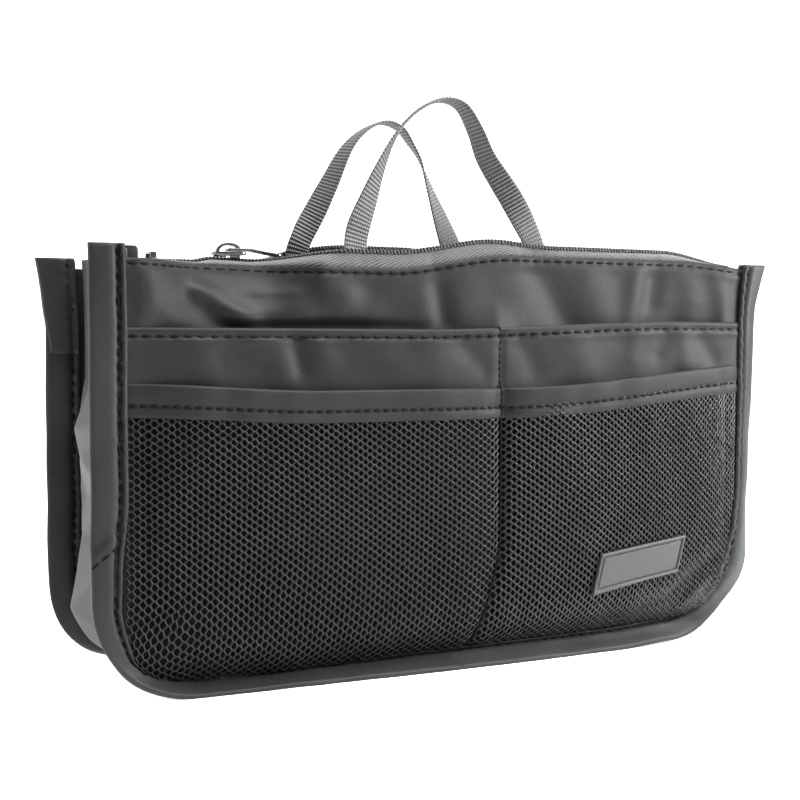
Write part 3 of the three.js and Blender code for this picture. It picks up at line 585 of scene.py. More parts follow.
def woven(name, low, high, roughness, gloss, sheen=0.0):
    """Plain-woven nylon: two crossed sets of threads under a soft calendered shine."""
    made, tree, shader = new_finish(name)
    place = add(tree, "ShaderNodeTexCoord")
    uv = place.outputs["UV"]
    threads = {"Vector": uv, "Scale": bands(WEAVE_SPACING * MM)}
    across = add(tree, "ShaderNodeTexWave", threads, bands_direction="X")
    along = add(tree, "ShaderNodeTexWave", threads, bands_direction="Y")
    both = {0: across.outputs["Fac"], 1: along.outputs["Fac"]}
    crossed = add(tree, "ShaderNodeMath", both, operation="ADD")
    raised = {"Height": crossed.outputs[0], "Distance": WEAVE_HEIGHT * MM, "Strength": 0.2}
    weave = add(tree, "ShaderNodeBump", raised)
    handled = {"Vector": place.outputs["Object"], "Scale": 90, "Detail": 4, "Roughness": 0.55}
    creases = add(tree, "ShaderNodeTexNoise", handled)
    creased = {"Height": creases.outputs["Fac"], "Distance": 0.0009, "Strength": 0.3}
    bump = add(tree, "ShaderNodeBump", {**creased, "Normal": weave.outputs["Normal"]})
    tint = blotches(tree, place.outputs["Object"], 35, low, high)
    dress(tree, shader, tint, bump, Roughness=roughness, IOR=1.5, Specular_IOR_Level=gloss)
    set_shader(shader, Sheen_Weight=sheen, Sheen_Roughness=0.4)
    return made


def paint_seam_shade(made):
    """Paints shade on the tape in uneven patches, in the pressed channel along its stitches, which its mesh
    marks as sewn.
    """
    tree = made.node_tree
    base = tree.nodes["Principled BSDF"].inputs["Base Color"]
    tint = base.links[0].from_socket
    place = add(tree, "ShaderNodeTexCoord").outputs["Object"]
    spots = add(tree, "ShaderNodeTexNoise", {"Vector": place, "Scale": 420, "Detail": 2})
    spread = {"Value": spots.outputs["Fac"], "From Min": 0.35, "From Max": 0.6}
    shade_patches = add(tree, "ShaderNodeMapRange", spread)
    sewn = add(tree, "ShaderNodeAttribute", attribute_name="sewn")
    both = {0: sewn.outputs["Fac"], 1: shade_patches.outputs["Result"]}
    share = add(tree, "ShaderNodeMath", both, operation="MULTIPLY")
    # The near black of the painted shade in the seam channel.
    tones = {0: share.outputs[0], 6: tint, 7: colour("#070707")}
    mixed = add(tree, "ShaderNodeMix", tones, data_type="RGBA")
    tree.links.new(mixed.outputs[2], base)


def twill(name, low, high, rib, depth):
    """Twill zip tape of polyester, with raised diagonal ribs, and painted shade and light across them:
    darker in the grooves, lighter on the crests.
    """
    made, tree, shader = new_finish(name)
    place = add(tree, "ShaderNodeTexCoord")
    turned = {"Vector": place.outputs["UV"], "Rotation": (0, 0, math.radians(57))}
    slant = add(tree, "ShaderNodeMapping", turned)
    ribs = add(tree, "ShaderNodeTexWave", {"Vector": slant.outputs[0], "Scale": bands(rib)})
    # Painted shade and light: the colour follows the ribs' height, dark in the grooves and light on the
    # crests.
    tint = two_tones(tree, ribs.outputs["Fac"], low, high, 0, 0.6)
    bump = add(tree, "ShaderNodeBump", {"Height": ribs.outputs["Fac"], "Distance": depth, "Strength": 0.8})
    dress(tree, shader, tint, bump, Roughness=0.7, IOR=1.5, Sheen_Weight=0.25, Sheen_Roughness=0.5)
    return made


def ribbed(name, low, high):
    """Polypropylene webbing: its ribs are in the mesh, and their valleys are painted darker as shade."""
    made, tree, shader = new_finish(name)
    uv = add(tree, "ShaderNodeTexCoord").outputs["UV"]
    crossing = {"Vector": uv, "Scale": bands(RIB_PITCH * MM), "Phase Offset": math.pi / 2}
    ribs = add(tree, "ShaderNodeTexWave", crossing, bands_direction="Y")
    yarns = add(tree, "ShaderNodeTexWave", {"Vector": uv, "Scale": bands(YARN * MM)}, bands_direction="X")
    # Painted shade: the colour is darker in the valleys between the ribs.
    tint = two_tones(tree, ribs.outputs["Fac"], low, high, 0.15, 0.7)
    raised = {"Height": yarns.outputs["Fac"], "Distance": 0.0002, "Strength": 0.6}
    bump = add(tree, "ShaderNodeBump", raised)
    dress(tree, shader, tint, bump, Roughness=0.6, IOR=1.5, Sheen_Weight=0.2, Sheen_Roughness=0.5)
    return made


def moulded(name, low, high, roughness, grain, depth, gloss=0.5):
    """Moulded rubber or plastic with a fine matt grain."""
    made, tree, shader = new_finish(name)
    place = add(tree, "ShaderNodeTexCoord").outputs["Object"]
    spots = add(tree, "ShaderNodeTexNoise", {"Vector": place, "Scale": 1 / grain, "Detail": 2})
    bump = add(tree, "ShaderNodeBump", {"Height": spots.outputs["Fac"], "Distance": depth, "Strength": 0.5})
    tint = blotches(tree, place, 120, low, high)
    dress(tree, shader, tint, bump, Roughness=roughness, IOR=1.5, Specular_IOR_Level=gloss)
    return made


def plated(name, low, high):
    """Nickel-plated die-cast zinc, bright with faint tumbling marks."""
    made, tree, shader = new_finish(name)
    place = add(tree, "ShaderNodeTexCoord").outputs["Object"]
    marks = add(tree, "ShaderNodeTexNoise", {"Vector": place, "Scale": 900, "Detail": 5})
    rubbed = {"Height": marks.outputs["Fac"], "Distance": 0.00004, "Strength": 0.4}
    bump = add(tree, "ShaderNodeBump", rubbed)
    tint = blotches(tree, place, 260, low, high)
    dress(tree, shader, tint, bump, Roughness=0.24, Metallic=1.0)
    return made


NYLON = woven("calendered_nylon", "#151617", "#1c1d1e", 0.54, 0.15)
# The flat pocket's own nylon behind the net, made near black as painted shade inside the pocket.
PAINTED_SHADE_BACKING = woven("painted_shade_nylon_backing", "#050505", "#080808", 0.8, 0.1)
# The gusset's nylon is the panels' nylon given a lighter colour, as painted light for the light that falls
# on its sides.
PAINTED_LIGHT_GUSSET_NYLON = woven("gusset_nylon", "#424344", "#4a4b4c", 0.45, 0.25)
TAPE_NYLON = woven("binding_tape_nylon", "#1e1f20", "#27282a", 0.5, 0.17)
# The tape's colour carries painted shade in the channel along its stitches.
paint_seam_shade(TAPE_NYLON)
LINING = woven("lining_polyester", "#202122", "#28292a", 0.6, 0.5, sheen=0.05)
ZIP_TAPE = twill("zip_tape_twill", "#161718", "#48494a", 0.0015, 0.0003)
COIL = moulded("nylon_coil", "#1a1b1c", "#2a2b2c", 0.35, 0.0006, 0.00003)
WEBBING = ribbed("polypropylene_webbing", "#141516", "#4a4b4c")
RUBBER = moulded("soft_rubber", "#232425", "#292a2b", 0.55, 0.0005, 0.00005)
NICKEL = plated("black_nickel_plate", "#5c5d5f", "#747577")
NET = moulded("mesh_polyester", "#0b0b0c", "#151617", 0.38, 0.0008, 0.00004, 0.32)
THREAD_FINISH = moulded("polyester_thread", "#040404", "#080808", 0.7, 0.0003, 0.00003, 0.12)


# Stitches, net strands and coils by Geometry Nodes


def new_tree(name, sizes):
    """A Geometry Nodes tree with one named input for each size, given with its default."""
    tree = bpy.data.node_groups.new(name, "GeometryNodeTree")
    tree.interface.new_socket("Geometry", in_out="INPUT", socket_type="NodeSocketGeometry")
    for label, value in sizes.items():
        socket = tree.interface.new_socket(label, in_out="INPUT", socket_type="NodeSocketFloat")
        socket.default_value = value
    tree.interface.new_socket("Geometry", in_out="OUTPUT", socket_type="NodeSocketGeometry")
    return tree, add(tree, "NodeGroupInput").outputs, add(tree, "NodeGroupOutput")


def close_tree(tree, geometry, finish, output):
    """The tree's last steps: real geometry with its material."""
    real = add(tree, "GeometryNodeRealizeInstances", {0: geometry})
    painted = add(tree, "GeometryNodeSetMaterial", {0: real.outputs[0], "Material": finish})
    tree.links.new(painted.outputs[0], output.inputs[0])
    return tree


def stitch_tree(name, finish):
    """Lays one rounded stitch at every pitch along a line, flat against its surface."""
    sizes = {"Pitch": HEM_STITCH * MM, "Length": HEM_STITCH * 0.72 * MM, "Thread": THREAD * MM}
    tree, given, output = new_tree(name, sizes)
    line = add(tree, "GeometryNodeMeshToCurve", {0: given["Geometry"]})
    spaced = {0: line.outputs[0], "Length": given["Pitch"]}
    points = add(tree, "GeometryNodeCurveToPoints", spaced, mode="LENGTH")
    facing = add(tree, "GeometryNodeInputNamedAttribute", {"Name": "out"}, data_type="FLOAT_VECTOR")
    axes = {"Primary Axis": points.outputs["Tangent"], "Secondary Axis": facing.outputs[0]}
    flat = add(tree, "FunctionNodeAxesToRotation", axes, primary_axis="X", secondary_axis="Z")
    ball = add(tree, "GeometryNodeMeshUVSphere", {"Segments": 8, "Rings": 5, "Radius": 0.5})
    sizes = {"X": given["Length"], "Y": given["Thread"], "Z": given["Thread"]}
    thin = add(tree, "ShaderNodeCombineXYZ", sizes)
    turned = {"Rotation": flat.outputs[0], "Scale": thin.outputs[0]}
    each = {"Points": points.outputs["Points"], "Instance": ball.outputs[0], **turned}
    laid = add(tree, "GeometryNodeInstanceOnPoints", each)
    return close_tree(tree, laid.outputs[0], finish, output)


def wired(tree, lines, resolution, radius):
    """A round wire along lines, with closed ends."""
    ring = add(tree, "GeometryNodeCurvePrimitiveCircle", {"Resolution": resolution})
    tree.links.new(radius, ring.inputs["Radius"])
    along = {"Curve": lines.outputs[0], "Profile Curve": ring.outputs[0], "Fill Caps": True}
    return add(tree, "GeometryNodeCurveToMesh", along).outputs[0]


def strand_tree(name, finish):
    """Gives every edge of a net its round strand."""
    tree, given, output = new_tree(name, {"Strand": 0.0004})
    lines = add(tree, "GeometryNodeMeshToCurve", {0: given["Geometry"]})
    return close_tree(tree, wired(tree, lines, 4, given["Strand"]), finish, output)


def grown(name, tree, points, edges, outwards, sizes):
    """A plain mesh of what a tree makes on lines of points given in millimetres."""
    mesh = bpy.data.meshes.new(name)
    mesh.from_pydata((np.asarray(points) * MM).tolist(), np.asarray(edges).tolist(), [])
    if outwards is not None:
        facing = mesh.attributes.new("out", "FLOAT_VECTOR", "POINT")
        facing.data.foreach_set("vector", np.asarray(outwards, np.float32).ravel())
    seed = linked(name + "_line", mesh)
    modifier = seed.modifiers.new("grow", "NODES")
    modifier.node_group = tree
    sockets = {item.name: item.identifier for item in tree.interface.items_tree if item.in_out == "INPUT"}
    for label, value in sizes.items():
        modifier[sockets[label]] = value * MM
    bpy.context.view_layer.update()
    graph = bpy.context.evaluated_depsgraph_get()
    made = bpy.data.meshes.new_from_object(seed.evaluated_get(graph), depsgraph=graph)
    made.name = name
    bpy.data.objects.remove(seed)
    bpy.data.meshes.remove(mesh)
    made.shade_smooth()
    return linked(name, made)


STITCHES = stitch_tree("stitches", THREAD_FINISH)
STRANDS = strand_tree("strands", NET)


def chain(count, start=0):
    return np.stack([np.arange(count - 1), np.arange(1, count)], -1) + start


def unit(vectors):
    return vectors / np.linalg.norm(vectors, axis=-1, keepdims=True)


def stitch_row(name, lines, pitch, slot, share=0.84):
    """One piece with the stitches along several lines. A line is its points and its outward vectors."""
    points, facing, edges, start = [], [], [], 0
    for line, out in lines:
        points.append(line)
        facing.append(out)
        edges.append(chain(len(line), start))
        start += len(line)
    sizes = {"Pitch": pitch, "Length": share * pitch, "Thread": THREAD}
    points, edges, facing = (np.concatenate(parts) for parts in (points, edges, facing))
    return ride_for(grown(name, STITCHES, points, edges, facing, sizes), "bag", slot)


def panel_line(side, x, s, face, lift=0.12):
    """Points a little above a layer's face with the way out of the cloth there."""
    base = on_panel(side, x, s, face + lift)
    return base, unit(on_panel(side, x, s, face + lift + 1) - base)


# Panels


def shell(side, name):
    x = np.linspace(-1, 1, 181)[None]
    low = np.linspace(LAYER_INSET, cloth_at(120), 16, endpoint=False)
    fine = np.linspace(0, 1, 44)
    top = panel_top(side, x * half_width(cloth_at(158), LAYER_INSET))
    s = np.concatenate([np.repeat(low[:, None], 181, 1), mix(cloth_at(120), top, fine[:, None])])
    across = x * half_width(np.minimum(s, cloth_at(158)), LAYER_INSET)
    n = shell_face(side, across, s)
    thick = CLOTH + 0.7 * (1 - smooth(panel_top(side, across) - s, HEM_WIDTH - 0.5, HEM_WIDTH + 0.5))
    piece = layer(f"{name}_panel", side, across, s, n, n - thick, NYLON)
    return ride_for(piece, "bag", "nylon", f"{name}_shell")


def lining(side, name):
    """Lining cloth over the foam: a soft pad behind the shell."""
    x = np.linspace(-1, 1, 91)[None]
    share = np.linspace(0, 1, 60)[:, None]
    top = panel_top(side, x * half_width(cloth_at(158), PANEL_INSET)) - HEM_WIDTH - 0.3
    s = mix(PANEL_INSET - 3, top, share)
    across = x * half_width(np.minimum(s, cloth_at(158)), PANEL_INSET - 3)
    into = np.minimum(half_width(s, 0) - np.abs(across) - PANEL_INSET + 3, s - PANEL_INSET + 3)
    room = smooth(np.minimum(into, 1.2 * (top - s)), 0, 11)
    face = np.minimum(-1.0 - shell_dip(side, across, s), shell_face(side, across, s) - CLOTH - 0.5)
    pad = face - CLOTH - (FOAM + 0.4) * room - 0.5 * ripple(across, s, 41 + side) * room
    piece = layer(f"{name}_padded_lining", side, across, s, face, pad, LINING)
    return ride_for(piece, "bag", "lining", f"{name}_lining", f"{name}_foam")


def flat_pocket(side, name):
    """The flat pocket's cloth, and the lower length of it behind the net, made near black as painted shade.
    """
    x = np.linspace(-1, 1, 181)[None]
    top = cloth_at(flat_top(x * half_width(cloth_at(138), LAYER_INSET)))
    join = cloth_at(mesh_top(x * half_width(cloth_at(110), LAYER_INSET)) - BAND_WIDTH / 2)
    share = np.linspace(0, 1, 44)[:, None]
    lengths = (
        ("flat_pocket_cloth", join, top, NYLON),
        ("shaded_pocket_backing", LAYER_INSET + 0 * x, join - 0.1, PAINTED_SHADE_BACKING),
    )
    for label, low, high, finish in lengths:
        s = mix(low, high, share)
        across = x * half_width(s, LAYER_INSET)
        n = flat_face(side, across, s)
        thick = CLOTH + 0.5 * (1 - smooth(cloth_at(flat_top(across)) - s, 5.5, 6.5))
        piece = layer(f"{name}_{label}", side, across, s, n, n - thick, finish)
        ride_for(piece, "bag", "nylon", f"{name}_flat_pocket")


NET_WIDE = 4.1
NET_HIGH = 2.8
KNOT = 0.5

# The net's rows slope with the pocket's top edge: the slope at each distance across.
NET_SLOPE = [(-150, -0.09), (-110, -0.06), (-54, 0.01), (-15, 0.04), (41, 0.08), (86, 0.13)]
NET_SLOPE += [(118, 0.18), (150, 0.2)]

# The net's holes narrow to the right, where the pocket is gathered.
NET_GATHER = [(-150, 1), (10, 1), (60, 0.86), (90, 0.7), (150, 0.62)]


def net(side, name):
    """The mesh pocket: a knitted net whose holes stand in staggered rows, with a short knot between."""
    across = np.linspace(-150, 150, 301)
    slope = along_list(NET_SLOPE, across)
    drop = np.concatenate([[0], np.cumsum(slope[1:])])
    gather = along_list(NET_GATHER, across)
    counted = np.concatenate([[0], np.cumsum(2 / NET_WIDE / gather[1:])])
    columns, rows = int(counted[-1]), int(150 / NET_HIGH * 2)
    i, j = np.meshgrid(np.arange(columns), np.arange(rows), indexing="ij")
    x = np.interp(i, counted, across)
    s = j * NET_HIGH / 2 + np.interp(x, across, drop) - 14
    reach = PANEL_INSET - 7.5
    inside = (np.abs(x) < half_width(s, reach)) & (s > reach) & ((i + j) % 2 == 0)
    inside &= s < cloth_at(mesh_top(x)) - BAND_WIDTH / 2
    number = -np.ones(i.shape, int)
    number[inside] = np.arange(inside.sum())
    x, s = x[inside], s[inside]
    half = KNOT * np.interp(x, across, gather)
    rng = np.random.default_rng(5 + side)
    points = []
    left = x < seam_x(s)
    for end in (-1, 1):
        wander = rng.normal(0, 0.08, (2, len(x)))
        px, ps = x + end * half + wander[0], s + wander[1]
        points.append(on_panel(side, px, ps, mesh_face(px, ps) + rng.normal(0, 0.05, len(x))))
    count = len(x)
    edges = [np.stack([np.arange(count), np.arange(count) + count], -1)]
    for up in (1, -1):
        a = number[:-1, :-1] if up == 1 else number[:-1, 1:]
        b = number[1:, 1:] if up == 1 else number[1:, :-1]
        both = (a >= 0) & (b >= 0)
        edges.append(np.stack([a[both] + count, b[both]], -1))
    points, edges = np.concatenate(points), np.concatenate(edges)
    for label, pocket in (("left", left), ("right", ~left)):
        mine = edges[pocket[edges[:, 0] % count]]
        strand = 0.44 if label == "left" else 0.6
        piece = grown(f"{name}_net_{label}", STRANDS, points, mine, None, {"Strand": strand})
        ride_for(piece, "bag", "mesh", f"{name}_mesh_pocket")


# The band's section as distances down from its edge and out from the net.
BAND_PROFILE = [(0, -0.8), (0.02, -0.2), (0.15, 0.2), (0.45, 0.5), (0.9, 0.7), (1.5, 0.8), (3, 0.85)]
BAND_PROFILE += [(5, 0.85), (6.5, 0.75), (7.3, 0.55), (7.9, 0.25), (8.5, 0.5), (9.3, 0.85), (10.5, 0.95)]
BAND_PROFILE += [(11.5, 0.9), (12.1, 0.7), (12.4, 0.4), (12.5, 0.0)]


def mesh_band(side, name):
    """The doubled nylon band sewn over the mesh pocket's top edge."""
    x = np.linspace(-1, 1, 181)[None]
    down, lift = (column[:, None] for column in np.array(BAND_PROFILE, float).T)
    across = x * half_width(cloth_at(110), FIN_WIDTH - 6)
    s = cloth_at(mesh_top(across)) - down
    base = mesh_face(across, cloth_at(mesh_top(across)) - 4)
    uneven = 0.25 * ripple(across, s, 51 + side)
    n = base + lift + uneven
    back = base + np.minimum(lift, 0.2) - 0.45 + uneven
    piece = layer(f"{name}_pocket_band", side, across, s, n, back, NYLON)
    return ride_for(piece, "bag", "nylon", f"{name}_mesh_band")


# Taped edges


def outline(top, step=2.0):
    """Stations down the left, round the bottom and up the right: x, s and the way inwards."""
    side_s = np.linspace(cloth_at(top), CORNER_RADIUS, int((cloth_at(top) - CORNER_RADIUS) / step))
    left = [(-half_width(s, 0), s, 1, 0) for s in side_s]
    turns = int(CORNER_RADIUS * math.pi / 2 / step)
    centre = -(BAG_WIDTH / 2 - CORNER_RADIUS)
    for i in range(1, turns + 1):
        angle = math.pi / 2 * i / turns
        c, d = math.cos(angle), math.sin(angle)
        left.append((centre - CORNER_RADIUS * c, CORNER_RADIUS * (1 - d), c, d))
    straight = np.arange(centre + step, 0, step)
    left += [(x, 0.0, 0, 1) for x in straight]
    right = [(-x, s, -c, d) for x, s, c, d in reversed(left)]
    stations = np.array(left + right, float)
    steps = np.hypot(np.diff(stations[:, 0]), np.diff(stations[:, 1]))
    return stations, np.concatenate([[0], np.cumsum(steps)])


def at_inset(side, stations, inset, n):
    x, s, c, d = (stations[:, k, None] for k in range(4))
    return on_panel(side, x + inset * c, s + inset * d, n)


# The front fins' widths at the heights given first.
LEFT_FIN = [(20, 12.5), (35, 10.2), (52, 11), (72, 13.1), (170, 13.3)]
RIGHT_FIN = [(5, 13), (14, 15), (24, 17.5), (36, 17.5), (50, 13.2), (66, 11.6), (90, 11.2), (170, 11)]
BACK_FIN = 13.4


def fin_inset(side, stations):
    """How far in the fin's inner edge lies at each station. The fins are narrow up the right side."""
    x, s = stations[:, 0], stations[:, 1]
    z = height_of(s)
    if side == BACK:
        return np.full(len(x), BACK_FIN)
    bottom = 13.2 + 1.2 * bump_at(x, -131, 5)
    at_side = smooth(np.abs(x), 118, 138)
    return mix(bottom, np.where(x < 0, along_list(LEFT_FIN, z), along_list(RIGHT_FIN, z)), at_side)


# How far the fins' tops lean outwards, at the left and at the right.
FIN_FLARE = {FRONT: (-0.9, 3.2), BACK: (2.2, 2.5)}


def fin_flare(side, stations):
    """How far the fin leans outwards. The front's right one is drawn in lower down."""
    x, s = stations[:, 0], stations[:, 1]
    amount = np.where(x < 0, *FIN_FLARE[side])
    narrowing = np.where((x >= 0) & (side == FRONT), 2.5 * smooth(-height_of(s), -110, -40), 0)
    return np.where(x < 0, -1, 1) * (amount * flare(s) - narrowing)


def fin_lift(side, stations):
    """How far the fin stands off the floor at the front's right corner."""
    x, s = stations[:, 0], stations[:, 1]
    return (2.0 if side == FRONT else 0) * smooth(x, 70, 125) * (1 - smooth(s, 10, 60))


# The folded tape's middle line as a share of its width and a distance outwards, from its front edge
# to its back. It is pressed in along its stitches.
FIN_PROFILE = [(1.0, 0.9), (1.0, 1.5), (0.985, 2.0), (0.95, 2.3), (0.9, 2.3), (0.87, 1.9), (0.84, 1.2)]
FIN_PROFILE += [(0.79, 0.85), (0.74, 1.15), (0.69, 1.95), (0.6, 2.35), (0.5, 2.3), (0.38, 2.05)]
FIN_PROFILE += [(0.26, 1.75), (0.15, 1.45), (0.07, 1.15), (0.02, 0.7)]
SECTION_WIDTH = 14


def fin_section(grow=0.0):
    """The closed outline of the folded tape's section, as shares of its width and distances outwards."""
    front = [(share, out + grow) for share, out in FIN_PROFILE]
    back = [(share, -0.6 * out - share - grow) for share, out in reversed(FIN_PROFILE)]
    scaled = np.array(front + back) * [SECTION_WIDTH, 1]
    tangent = np.gradient(scaled, axis=0)
    normal = unit(np.stack([-tangent[:, 1], tangent[:, 0]], -1)) * CLOTH / 2
    return np.concatenate([scaled - normal, (scaled + normal)[::-1]]) / [SECTION_WIDTH, 1]


def fin_waves(side, u, share, front):
    """The fin's unevenness: puckers along its stitches, slow waves and gathers round the corners."""
    rng = np.random.default_rng(91 + side)
    grid = np.arange(0, 640, 2.3)
    rough = np.interp(u, grid, rng.uniform(-1, 1, len(grid)))
    sewn = bump_at(share, 0.84, 0.2)
    pucker = 0.34 * sewn * np.sin(2 * math.pi * u / FIN_STITCH + 1.3 * np.sin(u / 17)) + 0.3 * sewn * rough
    corner = bump_at(u, 163, 26) + bump_at(u, 443, 26)
    gathers = 0.45 * corner * bump_at(share, 0.9, 0.4) * np.sin(2 * math.pi * u / 11 + 2 * np.sin(u / 9))
    slow = 0.55 * ripple(u, 0 * u, 61 + side) * (1.1 - share)
    return np.where(front, 1, -1) * (pucker + gathers) + slow


def fin_points(side, stations, along, share, n, front):
    """Points of the fin at shares of its width and distances outwards."""
    u = along[:, None]
    width = fin_inset(side, stations)[:, None]
    wander = 0.35 * ripple(u, 0 * u + 40, 63 + side)
    pleat = 1.2 * bump_at(u, 173, 2.2) * smooth(share, 0.55, 1)
    x, s, c, d = (stations[:, k, None] for k in range(4))
    lift = fin_lift(side, stations)[:, None]
    n = n + fin_waves(side, u, share, front) - (pleat if side == FRONT else 0)

    def middle(at, forward=0.0):
        inset = at * width + wander
        leaned = fin_flare(side, stations)[:, None] * (1 - 0.5 * at)
        across = x + inset * c + leaned + forward * d
        return on_panel(side, across, s + inset * d - forward * c, 0) + lift[..., None] * (0, 0, 1)

    share = np.broadcast_to(share, np.broadcast_shapes(np.shape(share), u.shape))
    inwards = middle(share + 0.05) - middle(share - 0.05)
    onwards = middle(share, 0.5) - middle(share, -0.5)
    out = np.cross(onwards, inwards)
    out *= np.sign(out @ np.array([0, side, 0.6]))[..., None]
    out /= np.maximum(np.linalg.norm(out, axis=-1, keepdims=True), 1e-9)
    points = middle(share) + out * np.broadcast_to(n, share.shape)[..., None]
    points[..., 2] = np.maximum(points[..., 2], TAPE_LOWEST)
    return points


def lap(u, share, front):
    """The doubled tape where its ends overlap low on the front left fin."""
    at = u + 9.5 * share
    return 0.9 * front * smooth(at, 110.6, 111.3) * (1 - smooth(at, 117, 165))


def taped(name, rings, u, ring):
    """Tape through rings of points, with its cloth's place from the way along and round its section."""
    around = np.cumsum(np.hypot(*np.diff(ring * [SECTION_WIDTH, 1], axis=0).T))
    uv = np.stack(np.broadcast_arrays(u, np.concatenate([[0], around])[None]), -1)
    return loft(name, rings, uv, TAPE_NYLON)


def fin(side, name):
    stations, along = outline(BAG_HEIGHT if side == FRONT else BAG_HEIGHT - 1.4, 1.5)
    ring = fin_section()
    share, n = ring[None, :, 0], ring[None, :, 1]
    front = n > 0
    u = along[:, None]
    doubled = lap(u, share, front) if side == FRONT else 0
    rings = fin_points(side, stations, along, share, n + doubled, front)
    piece = taped(f"{name}_fin", rings, u, ring)
    # Marks the band along the stitches where the tape's colour is darkened as painted shade.
    sewn = bump_at(ring[:, 0], 0.83, 0.1)
    marked = piece.data.attributes.new("sewn", "FLOAT", "POINT")
    marked.data.foreach_set("value", np.tile(sewn, len(rings)).astype(np.float32))
    return ride_for(piece, "bag", "binding_tape", f"binding_{name}")


def fin_stitches(side, name):
    stations, along = outline(BAG_HEIGHT - 3)
    rng = np.random.default_rng(17 + side)
    share = 0.79 + 0.2 * rng.normal(0, 0.05, (len(along), 1))
    lines = []
    for n, onwards in ((1.2, 1), (-1.6, -1)):
        front = np.array(onwards > 0)
        base = fin_points(side, stations, along, share, n, front)[:, 0]
        out = fin_points(side, stations, along, share, n + onwards, front)[:, 0]
        lines.append((base, unit(out - base)))
    if side == FRONT:
        shares = np.linspace(0.12, 0.72, 16)
        at = 113 - 9.5 * shares
        steps = np.interp(at, along, np.arange(len(along)))
        low = np.floor(steps).astype(int)
        picked = mix(stations[low], stations[low + 1], (steps - low)[:, None])
        height = along_list(FIN_PROFILE[::-1], shares)[:, None] + 1.15
        base, out = (
            fin_points(side, picked, at, shares[:, None], n, np.array(True))[:, 0]
            for n in (height, height + 1)
        )
        lines.append((base, unit(out - base)))
    return stitch_row(f"{name}_fin_stitches", lines, FIN_STITCH, "binding_tape")


FOLDED_LENGTH = 40.5


def fin_end(side):
    """The tape's end folded back over the top of the back left fin."""
    stations, along = outline(BAG_HEIGHT - 0.6, 1.2)
    count = int(np.searchsorted(-height_of(stations[:, 1]), -(BAG_HEIGHT - FOLDED_LENGTH)))
    stations, along = stations[:count], along[:count]
    ring = fin_section(0.75)
    share, n = ring[None, :, 0], ring[None, :, 1]
    u = along[:, None]
    inside = smooth(u, 18, 41)
    moved = share * 0.98 - 0.06 * (share < 0.4) * (1 - inside) + 0.12 * inside * (1 - share)
    ease = 1 + 0.25 * smooth(u, 20, 42)
    rings = fin_points(side, stations, along, moved, n * ease, n > 0)
    return ride_for(taped("back_fin_folded_end", rings, u, ring), "bag", "binding_tape", "binding_tab")


# The gusset's folding facets: how far it stands out at the heights below, at its edge, part way in and
# along the crease down its middle.
GUSSET_LEVELS = [-10, 10, 20, 34, 47, 60, 76, 90, 101, 118, 134, 163]
GUSSET_TOP = 165.7

# How far the gusset may fold in on the right, where the slider stands when the zip is open.
SLIDER_ROOM = 6
GUSSET_REACH = [
    (0, 0, 0, 0, 0, 0, 0, 0, 0, 0, 0, 0),
    (0, 1, 4, 5, 7, 3.5, 6, 3, 7, 1, 1, -6),
    (0, 2, 8, 14.4, 11.5, 9.5, 6.8, 10, 12.2, 6, -1, -11),
]


def faceted(height, to_fold):
    """Flat triangles between the gusset's fold points, with every other diagonal turned round."""
    levels, reach = np.array(GUSSET_LEVELS, float), np.array(GUSSET_REACH, float)
    row = np.clip(np.searchsorted(levels, height) - 1, 0, len(levels) - 2)
    a = np.clip((height - levels[row]) / (levels[row + 1] - levels[row]), 0, 1)
    column = np.where(to_fold < 0.5, 0, 1)
    b = to_fold * 2 - column
    f00, f10 = reach[column, row], reach[column, row + 1]
    f01, f11 = reach[column + 1, row], reach[column + 1, row + 1]
    low = f00 + a * (f10 - f00) + b * (f01 - f00)
    high = f11 + (1 - a) * (f01 - f11) + (1 - b) * (f10 - f11)
    one_way = np.where(a + b < 1, low, high)
    left = f00 + b * (f11 - f10) + a * (f10 - f00)
    right = f00 + b * (f01 - f00) + a * (f11 - f01)
    return np.where((row + column) % 2 == 0, one_way, np.where(a > b, left, right))


def gusset():
    stations, along = outline(GUSSET_TOP, 1.6)
    span = np.linspace(0, 1, 61)
    front, back = (at_inset(side, stations, GUSSET_INSET, -GUSSET_DEPTH) for side in (FRONT, BACK))
    middle = mix(front, back, span[None, :, None])
    side_share = np.clip(stations[:, 2] * np.sign(stations[:, 0]) * -1, 0, 1)
    side_share = np.where(stations[:, 1] >= CORNER_RADIUS, 1, side_share)[:, None]
    to_fold = 1 - np.abs(2 * span - 1)[None]
    y = (span[None] - 0.5) * (BAG_DEPTH - 10)
    height = height_of(stations[:, 1])[:, None]
    wander = 2.2 * np.sin(y / 13 + 1.1) * smooth(to_fold, 0, 0.4)
    reach = faceted(*np.broadcast_arrays(height + wander, to_fold))
    reach = np.where(stations[:, :1] > 0, np.maximum(reach, -SLIDER_ROOM), reach)
    flat = np.minimum(1, to_fold / 0.68) ** 1.3
    sag = middle[:, 0, 2][:, None] - CLOTH
    out = mix(sag * flat, reach, side_share)
    out += 0.5 * ripple(along[:, None], y, 71) * side_share * smooth(to_fold, 0, 0.3)
    outwards = np.stack([-stations[:, 2], 0 * along, -stations[:, 3]], -1)[:, None]
    face, rear = middle + outwards * (out + CLOTH)[..., None], middle + outwards * out[..., None]
    face[..., 2] = np.maximum(face[..., 2], GUSSET_LOWEST)
    rear[..., 2] = np.maximum(rear[..., 2], face[..., 2] + 0.3 * (1 - side_share))
    uv = np.stack(np.broadcast_arrays(along[:, None], y), -1)
    piece = cloth("folding_gusset", face, rear, uv, PAINTED_LIGHT_GUSSET_NYLON)
    return ride_for(piece, "bag", "gusset_nylon", "gusset")


# Zip


def opened(x):
    """How far the rows have opened, from 0 at the slider to 1."""
    return smooth(x, SLIDER_X + 0.4 * SLIDER_LENGTH, OPEN_END_X)


